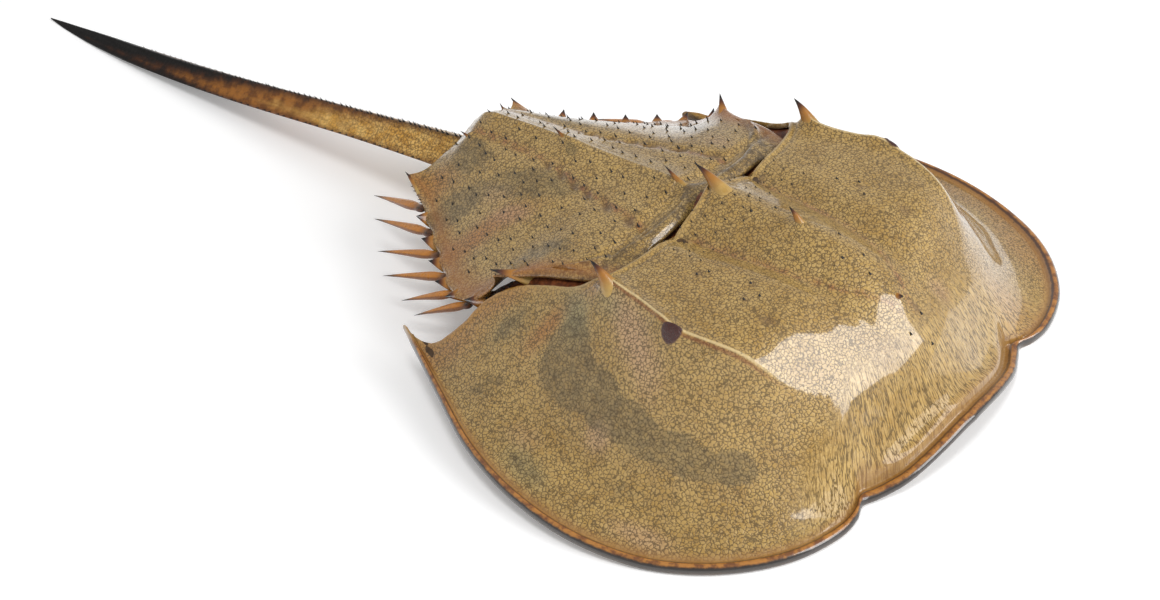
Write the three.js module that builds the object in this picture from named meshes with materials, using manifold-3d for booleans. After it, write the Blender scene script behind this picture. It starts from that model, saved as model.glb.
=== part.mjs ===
// Shell of an adult tri-spine horseshoe crab, in millimetres.
//
// +X points ahead (to the front of the animal), +Y to its left, +Z up, and the floor is z = 0.
// The origin lies on the floor under the middle of the whole length. Body coordinates, used by
// every function below, count x from the hinge between the two body plates.
//
// Separate pieces: the front plate (prosoma), the rear plate (opisthosoma), the dried skin of
// the hinge between them, the tail spine (telson), and twelve movable spines in sockets along
// the sides of the rear plate.

import * as THREE from 'three';
import { mergeVertices } from 'three/addons/utils/BufferGeometryUtils.js';
import Module from 'manifold-3d';

const wasm = await Module();
wasm.setup();

// ------------------------------------------------------------------ driving dimensions

const HINGE_X = 136; // hinge ahead of the middle of the whole length
const HALF_WIDTH = 127.5; // half the width of the front plate
const PLATE = 1.8; // thickness of both plates
const SEAM = 0.35; // gap between neighbouring pieces

const DOME_X = 31.5; // top of the front plate ahead of the hinge
const DOME_Z = 59; // height of that dome without its keel
const FRONT_LIFT = 9; // the rim rises in the middle of the front
const GENAL_LIFT = 14.5; // and again towards the two rear corners
const REST_FROM = THREE.MathUtils.degToRad(36); // the rim lies on the floor between these
const REST_TO = THREE.MathUtils.degToRad(76); // two directions, seen from the dome top

const BRIM_HEIGHT = 3; // top of the brim above the underside of the rim
const LIP_WIDTH = 13; // the under lip, turned in below the rim
const TAIL_TIP_X = -387.5; // tail tip behind the hinge
const TAIL_ROOT_X = -114;
const SPINE_BALL = 2.9; // ball at the root of each movable spine

// ------------------------------------------------------------------ outlines in plan

// Left half of the front plate's rim, from the middle of the front to the rear corner.
const RIM_OUTLINE = [
  [115.5, 0], [114.2, 18], [110.5, 35.5], [105.2, 47], [102.6, 52.5], [104.8, 59],
  [105.2, 69], [98.5, 89], [82, 108.5], [60, 121.5], [33, HALF_WIDTH], [5, 125.8],
  [-22, 118], [-49, 104], [-67, 94], [-80.5, 86.5],
];

// Left half of the front plate's rear edge, from the hinge out to the same rear corner.
const REAR_EDGE = [
  [0, 0], [0, 22], [-0.6, 40], [-5, 56], [-10, 61.5], [-26, 64], [-40, 67],
  [-49.5, 73.5], [-54.5, 82], [-62, 88], [-71, 88.6], [-80.5, 86.5],
];

// Left side of the rear plate, from the hinge past the shoulder to the end of the tail bay.
const SIDE_MARGIN = [
  [-4, 54], [-18, 58.5], [-34, 62], [-46, 66.5], [-54, 70.5], [-62, 70.5], [-70, 67.5],
  [-79, 61.5], [-90, 53], [-101, 45], [-112, 37.5], [-119, 34.5], [-124, 32.3],
];

// Left half of the edge over the tail root.
const TAIL_BAY = [
  [-117, 0], [-117.5, 7], [-118.5, 12], [-120, 15.5], [-121, 21], [-122, 27], [-124, 32.3],
];

// ------------------------------------------------------------------ small helpers

// Smooth curve y(x) through knots [x, y] in rising x, level beyond both ends.
function throughKnots(knots, x) {
  const last = knots.length - 1;
  if (x <= knots[0][0]) return knots[0][1];
  if (x >= knots[last][0]) return knots[last][1];
  let k = 0;
  while (x > knots[k + 1][0]) k += 1;
  const slope = (a, b) => (knots[b][1] - knots[a][1]) / (knots[b][0] - knots[a][0]);
  const m0 = slope(Math.max(k - 1, 0), k + 1);
  const m1 = slope(k, Math.min(k + 2, last));
  const span = knots[k + 1][0] - knots[k][0];
  const t = (x - knots[k][0]) / span;
  const t2 = t * t;
  const t3 = t2 * t;
  const h00 = 2 * t3 - 3 * t2 + 1;
  const h10 = t3 - 2 * t2 + t;
  const h11 = t3 - t2;
  return h00 * knots[k][1] + h10 * span * m0 + (1 - h00) * knots[k + 1][1] + h11 * span * m1;
}

// A hill of height 1 at 0 that has died away at about twice its width.
function hill(distance, width) {
  return Math.exp(-((distance / width) ** 2));
}

function smoothstep(from, to, x) {
  return THREE.MathUtils.smoothstep(x, from, to);
}

function vector([x, y, z], side = 1) {
  return new THREE.Vector3(x, y * side, z);
}

// Even-speed smooth curve through plan points.
const CURVE_DIVISIONS = 800;

function planCurve(points) {
  const nodes = points.map(([x, y]) => new THREE.Vector3(x, y, 0));
  const curve = new THREE.CatmullRomCurve3(nodes, false, 'centripetal');
  curve.arcLengthDivisions = CURVE_DIVISIONS;
  return curve;
}

const rim = planCurve(RIM_OUTLINE);
const rearEdge = planCurve(REAR_EDGE);
const sideMargin = planCurve(SIDE_MARGIN);
const tailBay = planCurve(TAIL_BAY);

// ------------------------------------------------------------------ shape of the front plate

// Distance from the dome top to the rim in each direction (knots of angle and radius).
const RIM_SAMPLES = 240;
const SAME_ANGLE = 1e-4;
const BEHIND = [[Math.PI * 0.9, 162], [Math.PI, 170]]; // imaginary rim behind the hinge
const rimRadius = [
  ...Array.from({ length: RIM_SAMPLES + 1 }, (_, k) => {
    const p = rim.getPointAt(k / RIM_SAMPLES);
    return [Math.atan2(p.y, p.x - DOME_X), Math.hypot(p.x - DOME_X, p.y)];
  }),
  ...BEHIND,
].filter(([angle], k, list) => k === 0 || angle > list[k - 1][0] + SAME_ANGLE);

// Height of the underside of the rim: flat on the floor at the sides of the front.
const GENAL_ANGLE = Math.atan2(RIM_OUTLINE.at(-1)[1], RIM_OUTLINE.at(-1)[0] - DOME_X);
const GENAL_SWEEP = 1.2; // above 1, the rise starts slowly

function rimBase(angle) {
  if (angle < REST_FROM) return FRONT_LIFT * (1 - (angle / REST_FROM) ** 2) ** 2;
  if (angle < REST_TO) return 0;
  return GENAL_LIFT * ((angle - REST_TO) / (GENAL_ANGLE - REST_TO)) ** GENAL_SWEEP;
}

// Reach of the dome in a direction. High up it is averaged over nearby directions, so that the
// notches of the rim shape the dome only where they are.
const CALM_COUNT = 7; // directions taken into the average on each side
const CALM_STEP = 0.045;
const CALM_ENDS = [0.88, 1]; // shares of the way out between which the true rim takes over

function domeReach(angle, distance) {
  const exact = throughKnots(rimRadius, angle);
  let sum = 0;
  for (let k = -CALM_COUNT; k <= CALM_COUNT; k += 1) {
    sum += throughKnots(rimRadius, Math.abs(angle + k * CALM_STEP));
  }
  const calm = sum / (2 * CALM_COUNT + 1);
  return calm + (exact - calm) * smoothstep(...CALM_ENDS, distance / exact);
}

// Share of the dome's height left at each share of the way out to its foot, a little inside the rim.
const DOME_FOOT = 5;
const FALL_AHEAD = [
  [0, 1], [0.31, 0.97], [0.52, 0.87], [0.65, 0.73], [0.77, 0.55], [0.86, 0.31], [0.93, 0.11],
  [0.97, 0.035], [1, 0],
];
const FALL_ASIDE = [
  [0, 1], [0.31, 0.985], [0.5, 0.955], [0.58, 0.87], [0.66, 0.67], [0.74, 0.43], [0.81, 0.23],
  [0.87, 0.12], [0.93, 0.06], [1, 0],
];
const FALL_BEHIND = [
  [0, 1], [0.31, 0.97], [0.52, 0.89], [0.645, 0.74], [0.78, 0.5], [0.9, 0.225], [0.96, 0.08], [1, 0],
];
const AHEAD_STARTS = 0.55; // directions, in radians, between which one profile gives way
const AHEAD_ENDS = 1.15; // to the next
const BEHIND_STARTS = 1.65;
const BEHIND_FULL = 2.5;

// Heart lobe: a keel on the midline between two furrows that draw together towards the front.
const LOBE = { keel: 4.6, keelWidth: 10, furrow: 3, furrowWidth: 6, furrowY: 24, draw: 0.12 };
const LOBE_FADE = [45, 92]; // the lobe fades out between these x

// Ridge that carries the compound eye and ends in the ophthalmic spine: y at each x.
const EYE_RIDGE = [
  [-12, 61], [4, 61.8], [18, 64.5], [31, 68], [42, 67], [56, 63.5], [68, 59], [78, 52],
];
const EYE_RIDGE_SIZE = { height: 2, width: 4.5 };
const EYE_RIDGE_STARTS = [-20, -4]; // x range over which it rises
const EYE_RIDGE_ENDS = [62, 84]; // and fades
const EYE = { x: 28, y: 68, height: 1.6, width: 5 };

function prosomaTop(x, y) {
  const side = Math.abs(y);
  const angle = Math.atan2(side, x - DOME_X);
  const base = rimBase(angle) + BRIM_HEIGHT;
  const distance = Math.hypot(x - DOME_X, side);
  const out = distance / (domeReach(angle, distance) - DOME_FOOT);
  const ahead = 1 - smoothstep(AHEAD_STARTS, AHEAD_ENDS, angle);
  const behind = smoothstep(BEHIND_STARTS, BEHIND_FULL, angle);
  const share = ahead * throughKnots(FALL_AHEAD, out)
    + behind * throughKnots(FALL_BEHIND, out)
    + (1 - ahead - behind) * throughKnots(FALL_ASIDE, out);
  const lobe = 1 - smoothstep(...LOBE_FADE, x);
  const furrowY = LOBE.furrowY - LOBE.draw * x;
  const keel = LOBE.keel * lobe * hill(side, LOBE.keelWidth);
  const furrow = LOBE.furrow * lobe * hill(side - furrowY, LOBE.furrowWidth);
  const ridgeLength = smoothstep(...EYE_RIDGE_STARTS, x) * (1 - smoothstep(...EYE_RIDGE_ENDS, x));
  const toRidge = side - throughKnots(EYE_RIDGE, x);
  const ridge = EYE_RIDGE_SIZE.height * ridgeLength * hill(toRidge, EYE_RIDGE_SIZE.width);
  const eye = EYE.height * hill(Math.hypot(x - EYE.x, side - EYE.y), EYE.width);
  return base + (DOME_Z - base) * share + keel - furrow + ridge + eye;
}

// ------------------------------------------------------------------ shape of the rear plate

// Heights along the midline (by x) and along the side margin (by share of its length).
const KEEL_LINE = [
  [-121, 40], [-116, 45.5], [-110, 51], [-95, 53.2], [-70, 54.8], [-40, 56], [-14, 57.5], [0, 56.5],
];
const MARGIN_LINE = [
  [0, 52.5], [0.12, 51], [0.25, 46.5], [0.33, 39], [0.4, 31.5], [0.5, 27.5], [0.7, 26.5],
  [0.88, 29], [1, 35],
];
const FALL_TO_MARGIN = [[0, 1], [0.3, 0.89], [0.5, 0.69], [0.7, 0.42], [0.88, 0.14], [1, 0]];
const FRONT_X = -2.4; // front edge of the rear plate on the midline
const FRONT_SWEEP = 1.6; // how far its ends lie behind that
const KEEL = { height: 2.6, width: 8, starts: [-18, -4] }; // rounded ridge along the midline
const GROOVE = { depth: 1.6, x: -13, width: 2.2, ends: [0.75, 1] }; // behind the front border

// Plan point of the rear plate: u from hinge to tail, v from the midline to the side margin.
// The four edges are blended so that lines of equal u or v run smoothly between them.
function opisthosomaPlan(u, v) {
  const way = Math.abs(v);
  const corner = sideMargin.getPointAt(0);
  const front = new THREE.Vector3(FRONT_X - FRONT_SWEEP * way * way, corner.y * way, 0);
  const rear = tailBay.getPointAt(way);
  const frontMiddle = new THREE.Vector3(FRONT_X, 0, 0);
  const rearMiddle = tailBay.getPointAt(0);
  const across = frontMiddle.clone().lerp(rearMiddle, u).lerp(sideMargin.getPointAt(u), way);
  const along = front.lerp(rear, u);
  const corners = frontMiddle.lerp(corner, way).lerp(rearMiddle.lerp(tailBay.getPointAt(1), way), u);
  const p = across.add(along).sub(corners);
  p.y *= Math.sign(v);
  return p;
}

function opisthosomaTop(u, v) {
  const p = opisthosomaPlan(u, v);
  const margin = throughKnots(MARGIN_LINE, u);
  const middle = throughKnots(KEEL_LINE, p.x);
  const rise = (middle - margin) * throughKnots(FALL_TO_MARGIN, Math.abs(v));
  const keel = KEEL.height * hill(p.y, KEEL.width) * (1 - smoothstep(...KEEL.starts, p.x));
  const grooveLength = 1 - smoothstep(...GROOVE.ends, Math.abs(v));
  const groove = GROOVE.depth * hill(p.x - GROOVE.x, GROOVE.width) * grooveLength;
  p.z = margin + rise + keel - groove;
  return p;
}

// ------------------------------------------------------------------ solids from chains

const WELD = 1e-4; // points closer than this are one

function closedGeometry(positions, index) {
  const geometry = new THREE.BufferGeometry();
  geometry.setAttribute('position', new THREE.Float32BufferAttribute(positions, 3));
  geometry.setIndex(index);
  return facingOut(mergeVertices(geometry, WELD));
}

// Closed surface between neighbouring chains of points; the two end chains are capped with
// the triangles that fill them in the plane given. Closed chains are rings. Open chains start
// and end on the midline, where the two halves of a mirrored plate meet.
function loft(chains, closed, capPlane) {
  const size = chains[0].length;
  const index = [];
  const steps = closed ? size : size - 1;
  for (let row = 0; row < chains.length - 1; row += 1) {
    for (let k = 0; k < steps; k += 1) {
      const a = row * size + k;
      const b = row * size + ((k + 1) % size);
      index.push(a, b, b + size, a, b + size, a + size);
    }
  }
  for (const row of [0, chains.length - 1]) {
    const contour = chains[row].map(capPlane);
    const area = THREE.ShapeUtils.area(contour);
    for (const corners of THREE.ShapeUtils.triangulateShape([...contour], [])) {
      const forward = THREE.ShapeUtils.area(corners.map((k) => contour[k])) * area > 0;
      if (forward === (row === 0)) corners.reverse();
      index.push(...corners.map((k) => row * size + k));
    }
  }
  return closedGeometry(chains.flat().flatMap((p) => [p.x, p.y, p.z]), index);
}

// Turns the faces round if the volume they enclose comes out negative.
function facingOut(geometry) {
  const p = geometry.attributes.position;
  const index = Array.from(geometry.index.array);
  const corner = (k) => new THREE.Vector3().fromBufferAttribute(p, index[k]);
  let volume = 0;
  for (let k = 0; k < index.length; k += 3) {
    volume += corner(k).dot(corner(k + 1).cross(corner(k + 2)));
  }
  if (volume < 0) index.reverse();
  geometry.setIndex(index);
  return geometry;
}

function toSolid(geometry) {
  const bare = geometry.clone();
  bare.deleteAttribute('normal');
  bare.deleteAttribute('uv');
  const merged = mergeVertices(bare, WELD);
  return new wasm.Manifold(new wasm.Mesh({
    numProp: 3,
    vertProperties: new Float32Array(merged.attributes.position.array),
    triVerts: new Uint32Array(merged.index.array),
  }));
}

function toGeometry(solid) {
  const mesh = solid.getMesh();
  const geometry = new THREE.BufferGeometry();
  geometry.setAttribute('position', new THREE.Float32BufferAttribute(mesh.vertProperties, 3));
  geometry.setIndex(Array.from(mesh.triVerts));
  return geometry;
}

// A spike along a curve. Each section is its share of the length, half width and half height.
function spike(curve, sections, sides) {
  const frame = (t) => {
    const along = curve.getTangent(THREE.MathUtils.clamp(t, 0, 1));
    const up = new THREE.Vector3(0, 1, 0).cross(along).normalize();
    return { along, up, flat: along.clone().cross(up) };
  };
  const overhang = curve.getLength();
  const rings = sections.map(([share, width, height]) => {
    const { along, up, flat } = frame(share);
    const centre = curve.getPoint(Math.max(share, 0));
    centre.addScaledVector(along, Math.min(share, 0) * overhang);
    return Array.from({ length: sides }, (_, k) => {
      const turn = (k / sides) * 2 * Math.PI;
      return centre.clone()
        .addScaledVector(flat, width * Math.cos(turn))
        .addScaledVector(up, height * Math.sin(turn));
    });
  });
  const { up, flat } = frame(0.5);
  return loft(rings, true, (p) => new THREE.Vector2(p.dot(flat), p.dot(up)));
}

// A fixed thorn, round in section; bow pushes its middle aside.
const THORN_SECTIONS = [[0, 1], [0.35, 0.68], [0.7, 0.33], [1, 0.03]];
const THORN_SIDES = 6;

function thorn(root, tip, radius, bow = new THREE.Vector3()) {
  const middle = root.clone().lerp(tip, 0.5).add(bow);
  const curve = new THREE.QuadraticBezierCurve3(root, middle, tip);
  const sections = THORN_SECTIONS.map(([share, size]) => [share, radius * size, radius * size]);
  return spike(curve, sections, THORN_SIDES);
}

// Upward normal of a surface given as top(a, b) -> point, by small steps.
function normalOf(top, a, b, step) {
  const alongA = top(a + step, b).sub(top(a - step, b));
  const alongB = top(a, b + step).sub(top(a, b - step));
  const normal = alongA.cross(alongB).normalize();
  return normal.z < 0 ? normal.negate() : normal;
}

// ------------------------------------------------------------------ front plate

const RAYS = 26; // from the middle of the front to each rear corner
const RAY_STEPS = [0, 0.12, 0.24, 0.36, 0.47, 0.57, 0.68, 0.79, 0.9, 1];
const FIRST_RAY_X = 62; // the rays fan out from the midline between here and the hinge
const RAY_CROWDING = 1.3; // above 1, they start closer together near the hinge

// Ray s (0 ahead, 1 along the rear edge) as plan point at share t of its way to the rim.
function rayPoint(s, t) {
  const start = new THREE.Vector3(FIRST_RAY_X * (1 - s) ** RAY_CROWDING, 0, 0);
  const straight = start.clone().lerp(rim.getPointAt(s), t);
  const bend = s ** 3;
  const last = new THREE.Vector3().lerp(rim.getPointAt(1), t);
  return straight.add(rearEdge.getPointAt(t).sub(last).multiplyScalar(bend));
}

// Section of the rim: distance in from its edge and height over its underside. A groove, a
// rolled bead, the flat that rests on the floor, and the lip folded in below.
const RIM_SECTION = [
  [5.2, 2.6], [2.4, 3.8], [0.6, 3], [0, 1.7], [0.9, 0], [3.7, 0],
  [LIP_WIDTH, 1.6], [LIP_WIDTH, 2.7], [5.2, 1.2],
];
const RIM_SHARE = 6.6; // the rim section takes over this far in from the edge
const FRONT_NORMAL_STEP = 0.5; // millimetres either way

function prosomaChain(s, side) {
  const ray = (t) => rayPoint(s, t);
  const length = ray(0).distanceTo(ray(1));
  const rimPoint = ray(1);
  const base = rimBase(Math.atan2(rimPoint.y, rimPoint.x - DOME_X));
  const top = (x, y) => new THREE.Vector3(x, y, prosomaTop(x, y));
  const steps = RAY_STEPS.map((t) => t * (1 - RIM_SHARE / length));
  const outer = steps.map((t) => top(ray(t).x, ray(t).y));
  const inner = outer.map((p, k) => {
    const normal = normalOf(top, p.x, p.y, FRONT_NORMAL_STEP);
    if (k === 0) normal.setY(0).normalize();
    return p.clone().addScaledVector(normal, -PLATE);
  });
  const lip = RIM_SECTION.map(([inward, height]) => {
    const p = ray(1 - inward / length);
    return p.setZ(base + height);
  });
  const chain = [...outer, ...lip, ...inner.reverse()];
  for (const p of chain) p.y *= side;
  return chain;
}

// Thorns of the front plate: where each is rooted, its tip, its root radius and its bow.
const FRONT_THORNS = [
  { at: [5, 0], tip: [-7.7, 0, 70.8], radius: 4.8, bow: 2 },
  { at: [40, 0], tip: [34, 0, 69], radius: 3, bow: 1 },
  { at: [79, 0], tip: [83, 0, 50.7], radius: 3.2, bow: 0 },
  { at: [2, -61.5], tip: [-7.1, -62.2, 65.5], radius: 5, bow: 2 },
  { at: [2, 61.5], tip: [-7.1, 62.2, 65.5], radius: 5, bow: 2 },
];
const THORN_SINK = 2; // thorn roots start this far inside the plate
const REAR_EDGE_SLANT = 0.35; // the rear edge runs back as it runs out

function makeProsoma() {
  const chains = [];
  for (let k = -RAYS; k <= RAYS; k += 1) {
    chains.push(prosomaChain(Math.abs(k) / RAYS, k < 0 ? -1 : 1));
  }
  // Along the rear edge the wall is a band: distance out from the midline, and height.
  const alongRearEdge = (p) => new THREE.Vector2(Math.abs(p.y) - REAR_EDGE_SLANT * p.x, p.z);
  let solid = toSolid(loft(chains, false, alongRearEdge));
  for (const { at: [x, y], tip, radius, bow } of FRONT_THORNS) {
    const root = new THREE.Vector3(x, y, prosomaTop(x, y) - THORN_SINK);
    const piece = thorn(root, vector(tip), radius, new THREE.Vector3(bow / 2, 0, bow));
    solid = solid.add(toSolid(piece));
  }
  return toGeometry(solid);
}

// ------------------------------------------------------------------ rear plate

const STATIONS = 16; // from the hinge to the tail bay
const ACROSS = 7; // from the midline to each side margin
const ACROSS_CROWDING = 0.9; // below 1, the steps get closer towards the margin

// Section of the side margin: distance in from its edge and height over its underside.
const MARGIN_SECTION = [[0, 1.8], [1.2, 0], [8, 0.6], [8, 1.8], [3.4, 1.7]];
const MARGIN_DEPTH = 3.2;
const MARGIN_SHARE = 3.4; // the margin section takes over this far in from the edge
const REAR_NORMAL_STEP = 0.01; // share of the plate either way

// Fixed thorns of the left margin, from the shoulder to the tail: root, tip, root radius.
const MARGIN_THORNS = [
  [[-37.5, 59.5, 42], [-48.5, 70.3, 47.8], 5],
  [[-51, 67, 29], [-56.5, 76.7, 34.2], 3.6],
  [[-65, 65.5, 26], [-68.3, 74.7, 28.9], 2.7],
  [[-74, 62.5, 24.5], [-79.4, 68.4, 27.1], 3.2],
  [[-84.5, 55, 24], [-89.7, 60.5, 27.3], 3.2],
  [[-95.5, 47.5, 24.5], [-100.2, 52.8, 28.6], 3.2],
  [[-106.5, 39.3, 26.5], [-109.6, 45.2, 30.6], 2.8],
  [[-118, 32, 31.5], [-126.6, 32, 37.2], 3.4],
];

// Movable spines of the left margin, from the tail forward: root and tip.
const MOVABLE_SPINES = [
  [[-114, 37.3, 27.6], [-150, 28.8, 14]],
  [[-102.5, 45.6, 25.6], [-139, 40.5, 14]],
  [[-91, 53.6, 24.8], [-123, 55.5, 14]],
  [[-79.5, 61.8, 24.8], [-110.5, 65.8, 14]],
  [[-69.5, 68.3, 25.4], [-94, 73, 14]],
  [[-59.5, 71.6, 27], [-84, 77, 14]],
];

function opisthosomaChain(u) {
  const top = (a, b) => opisthosomaTop(THREE.MathUtils.clamp(a, 0, 1), b);
  const halfWidth = opisthosomaPlan(u, 1).y;
  const steps = Array.from({ length: ACROSS + 1 }, (_, k) => (k / ACROSS) ** ACROSS_CROWDING);
  const shares = steps.map((v) => v * (1 - MARGIN_SHARE / halfWidth));
  const outerHalf = shares.map((v) => top(u, v));
  const innerHalf = shares.map((v, k) => {
    const normal = normalOf(top, u, v, REAR_NORMAL_STEP);
    if (k === 0) normal.setY(0).normalize();
    return top(u, v).addScaledVector(normal, -PLATE);
  });
  const edge = top(u, 1);
  const lip = MARGIN_SECTION.map(([inward, height]) => {
    const p = opisthosomaPlan(u, 1 - inward / halfWidth);
    return p.setZ(edge.z - MARGIN_DEPTH + height);
  });
  const left = [...outerHalf, ...lip, ...innerHalf.toReversed()];
  const right = left.slice(1, -1).toReversed().map((p) => new THREE.Vector3(p.x, -p.y, p.z));
  return [...left, ...right];
}

// Thorns on the midline, from the hinge to the tail: root, tip, root radius.
const KEEL_THORNS = [
  [[-12, 0, 57], [-21.9, 0, 64.2], 3.2],
  [[-66, 0, 55], [-76, 0, 60.7], 2.8],
  [[-103, 0, 51.5], [-109.9, 0, 55.4], 2.6],
];
const TAIL_BAY_THORN = [[-108, 10, 46.5], [-114, 11.9, 50.2], 2.4];

function makeOpisthosoma() {
  const chains = [];
  for (let k = 0; k <= STATIONS; k += 1) chains.push(opisthosomaChain(k / STATIONS));
  let solid = toSolid(loft(chains, true, (p) => new THREE.Vector2(p.y, p.z)));
  const sided = [...MARGIN_THORNS, TAIL_BAY_THORN].flatMap((row) => [[...row, -1], [...row, 1]]);
  for (const [root, tip, radius, side] of [...KEEL_THORNS, ...sided]) {
    solid = solid.add(toSolid(thorn(vector(root, side), vector(tip, side), radius)));
  }
  for (const side of [-1, 1]) {
    for (const [root] of MOVABLE_SPINES) {
      const socket = new THREE.IcosahedronGeometry(SPINE_BALL + 2 * SEAM, 1);
      socket.translate(...vector(root, side).toArray());
      solid = solid.subtract(toSolid(socket));
    }
  }
  return toGeometry(solid);
}

// ------------------------------------------------------------------ movable spines

// A lance: a ball in the socket, a neck, then a flattened blade that ends in a point.
const LANCE_SECTIONS = [
  [-0.06, 1.4, 1.4], [0, SPINE_BALL - 0.3, SPINE_BALL - 0.4], [0.08, 2.1, 1.8],
  [0.25, 2.3, 1.4], [0.5, 1.8, 1.1], [0.8, 0.9, 0.6], [1, 0.08, 0.08],
];
const LANCE_SIDES = 6;

function makeMovableSpine(root, tip) {
  return spike(new THREE.LineCurve3(root, tip), LANCE_SECTIONS, LANCE_SIDES);
}

// ------------------------------------------------------------------ tail spine

// Height of the ridge on top, height of the underside, and half width, each at x.
const RIDGE_LINE = [
  [TAIL_TIP_X, 0.9], [-372, 2.6], [-349, 5], [-316.5, 8], [-283, 11.8], [-236, 18.6],
  [-172, 28.6], [-132, 35], [TAIL_ROOT_X, 37],
];
const UNDERSIDE_LINE = [
  [TAIL_TIP_X, 0.5], [-374, 0], [-349, 0.3], [-316, 2], [-260, 7.6], [-180, 19],
  [-140, 24.5], [TAIL_ROOT_X, 27.5],
];
const TAIL_HALF_WIDTH = [
  [TAIL_TIP_X, 0.2], [-374, 2.4], [-350, 5], [-316, 6.8], [-260, 8.2], [-180, 9.6],
  [-140, 11.2], [-122, 11.4], [TAIL_ROOT_X, 8],
];
// Left half of the three-sided section: share of the half width and of the height.
const TAIL_SECTION = [[0.1, 1], [0.52, 0.52], [0.94, 0.2], [1, 0.09], [0.86, 0], [0.3, 0.1]];
const TAIL_STATIONS = 20;
const TAIL_CROWDING = 0.85; // below 1, the stations get closer towards the tip

function makeTelson() {
  const rings = [];
  for (let k = 0; k <= TAIL_STATIONS; k += 1) {
    const share = (k / TAIL_STATIONS) ** TAIL_CROWDING;
    const x = THREE.MathUtils.lerp(TAIL_ROOT_X, TAIL_TIP_X, share);
    const under = throughKnots(UNDERSIDE_LINE, x);
    const height = throughKnots(RIDGE_LINE, x) - under;
    const half = throughKnots(TAIL_HALF_WIDTH, x);
    const left = TAIL_SECTION.map(([out, up]) => new THREE.Vector3(x, half * out, under + height * up));
    const right = left.toReversed().map((p) => new THREE.Vector3(p.x, -p.y, p.z));
    rings.push([...left, ...right]);
  }
  return loft(rings, true, (p) => new THREE.Vector2(p.y, p.z));
}

// ------------------------------------------------------------------ skin of the hinge

const SKIN_HALF_WIDTH = 50;
const SKIN_STEPS = 12;
const SKIN_DROP = 3; // top of the skin below the underside of the front plate
const SKIN_SECTION = [[5, -1.6], [5, -0.2], [1, 0], [-1.6, 0.4], [-1.6, -1.2], [1, -1.6]];

// A dried strip that closes the gap under the rear edge of the front plate.
function makeHingeSkin() {
  const rings = [];
  for (let k = -SKIN_STEPS; k <= SKIN_STEPS; k += 1) {
    const y = (k / SKIN_STEPS) * SKIN_HALF_WIDTH;
    const under = prosomaTop(1, y) - PLATE - SKIN_DROP;
    rings.push(SKIN_SECTION.map(([x, z]) => new THREE.Vector3(x, y, under + z)));
  }
  return loft(rings, true, (p) => new THREE.Vector2(p.x, p.z));
}

// ------------------------------------------------------------------ finishes and pieces

const finish = (color, roughness) => ({ color, roughness, metalness: 0 });
const SHELL_FINISH = finish('#a8925f', 0.35);
const SPINE_FINISH = finish('#8a5a24', 0.35);
const TAIL_FINISH = finish('#7d6238', 0.4);
const SKIN_FINISH = finish('#7a4a2a', 0.45);

const crab = new THREE.Group();
crab.position.set(HINGE_X, 0, 0);

function addPiece(name, geometry, surface) {
  const mesh = new THREE.Mesh(geometry, new THREE.MeshStandardMaterial(surface));
  mesh.name = name;
  crab.add(mesh);
}

addPiece('prosoma', makeProsoma(), SHELL_FINISH);
addPiece('opisthosoma', makeOpisthosoma(), SHELL_FINISH);
addPiece('hinge_membrane', makeHingeSkin(), SKIN_FINISH);
addPiece('telson', makeTelson(), TAIL_FINISH);
for (const [sideName, side] of [['right', -1], ['left', 1]]) {
  MOVABLE_SPINES.forEach(([root, tip], k) => {
    const geometry = makeMovableSpine(vector(root, side), vector(tip, side));
    addPiece(`marginal_spine_${sideName}_${k + 1}`, geometry, SPINE_FINISH);
  });
}

const root = new THREE.Group();
root.add(crab);

export default root;
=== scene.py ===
# %% [markdown]
# # A dried horseshoe crab shell
#
# The real object is the empty shell of an adult male horseshoe crab: a domed front plate shaped like
# a horseshoe, a thorny six-sided rear plate, a strip of dried skin in the hinge between them, a long
# three-sided tail spine and twelve small side spines in sockets. It lies on a white surface.
#
# The solid frame is loaded first. It holds every piece at its true size, but faceted and plain, so
# each of its pieces is replaced below by a fine mesh of the same shape with a finish of its own.

import math

import bmesh
import bpy
import numpy as np
from mathutils import Matrix, Vector


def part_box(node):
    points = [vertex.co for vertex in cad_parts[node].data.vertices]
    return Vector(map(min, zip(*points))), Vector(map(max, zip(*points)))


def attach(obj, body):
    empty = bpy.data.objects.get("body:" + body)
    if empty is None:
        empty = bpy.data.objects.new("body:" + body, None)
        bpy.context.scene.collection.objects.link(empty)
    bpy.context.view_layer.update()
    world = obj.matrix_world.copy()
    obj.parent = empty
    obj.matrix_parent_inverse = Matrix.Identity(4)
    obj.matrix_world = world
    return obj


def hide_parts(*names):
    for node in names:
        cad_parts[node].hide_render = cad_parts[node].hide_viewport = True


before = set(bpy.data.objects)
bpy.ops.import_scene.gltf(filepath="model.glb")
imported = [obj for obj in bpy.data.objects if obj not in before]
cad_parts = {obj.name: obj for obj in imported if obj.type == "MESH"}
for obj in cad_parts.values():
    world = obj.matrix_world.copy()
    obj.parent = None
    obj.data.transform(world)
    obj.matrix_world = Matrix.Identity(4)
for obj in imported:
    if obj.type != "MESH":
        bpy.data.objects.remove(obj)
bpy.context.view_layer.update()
MM = 0.001

# %% [markdown]
# ## Where things are
#
# A shell is easiest to describe from its hinge: x ahead of the hinge, y to the animal's left, z up,
# all in millimetres. The frame says where the hinge really is. Every mesh below is worked out in
# these body coordinates and moved into the frame in one place, so nothing is fitted by eye.

# %% Body coordinates
FRONT_REACH = 115.5  # from the hinge to the foremost point of the rim
front_box = np.array(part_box("prosoma")) / MM
HINGE_X = front_box[1][0] - FRONT_REACH
HALF_WIDTH = 127.5
DOME_X = 31.5
DOME_Z = 59.0
PLATE = 1.8


def to_frame(points):
    """Body coordinates in millimetres to the frame's metres."""
    return (np.asarray(points, float) + (HINGE_X, 0, 0)) * MM


print("hinge at x =", round(HINGE_X, 2), "mm in the frame")

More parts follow.
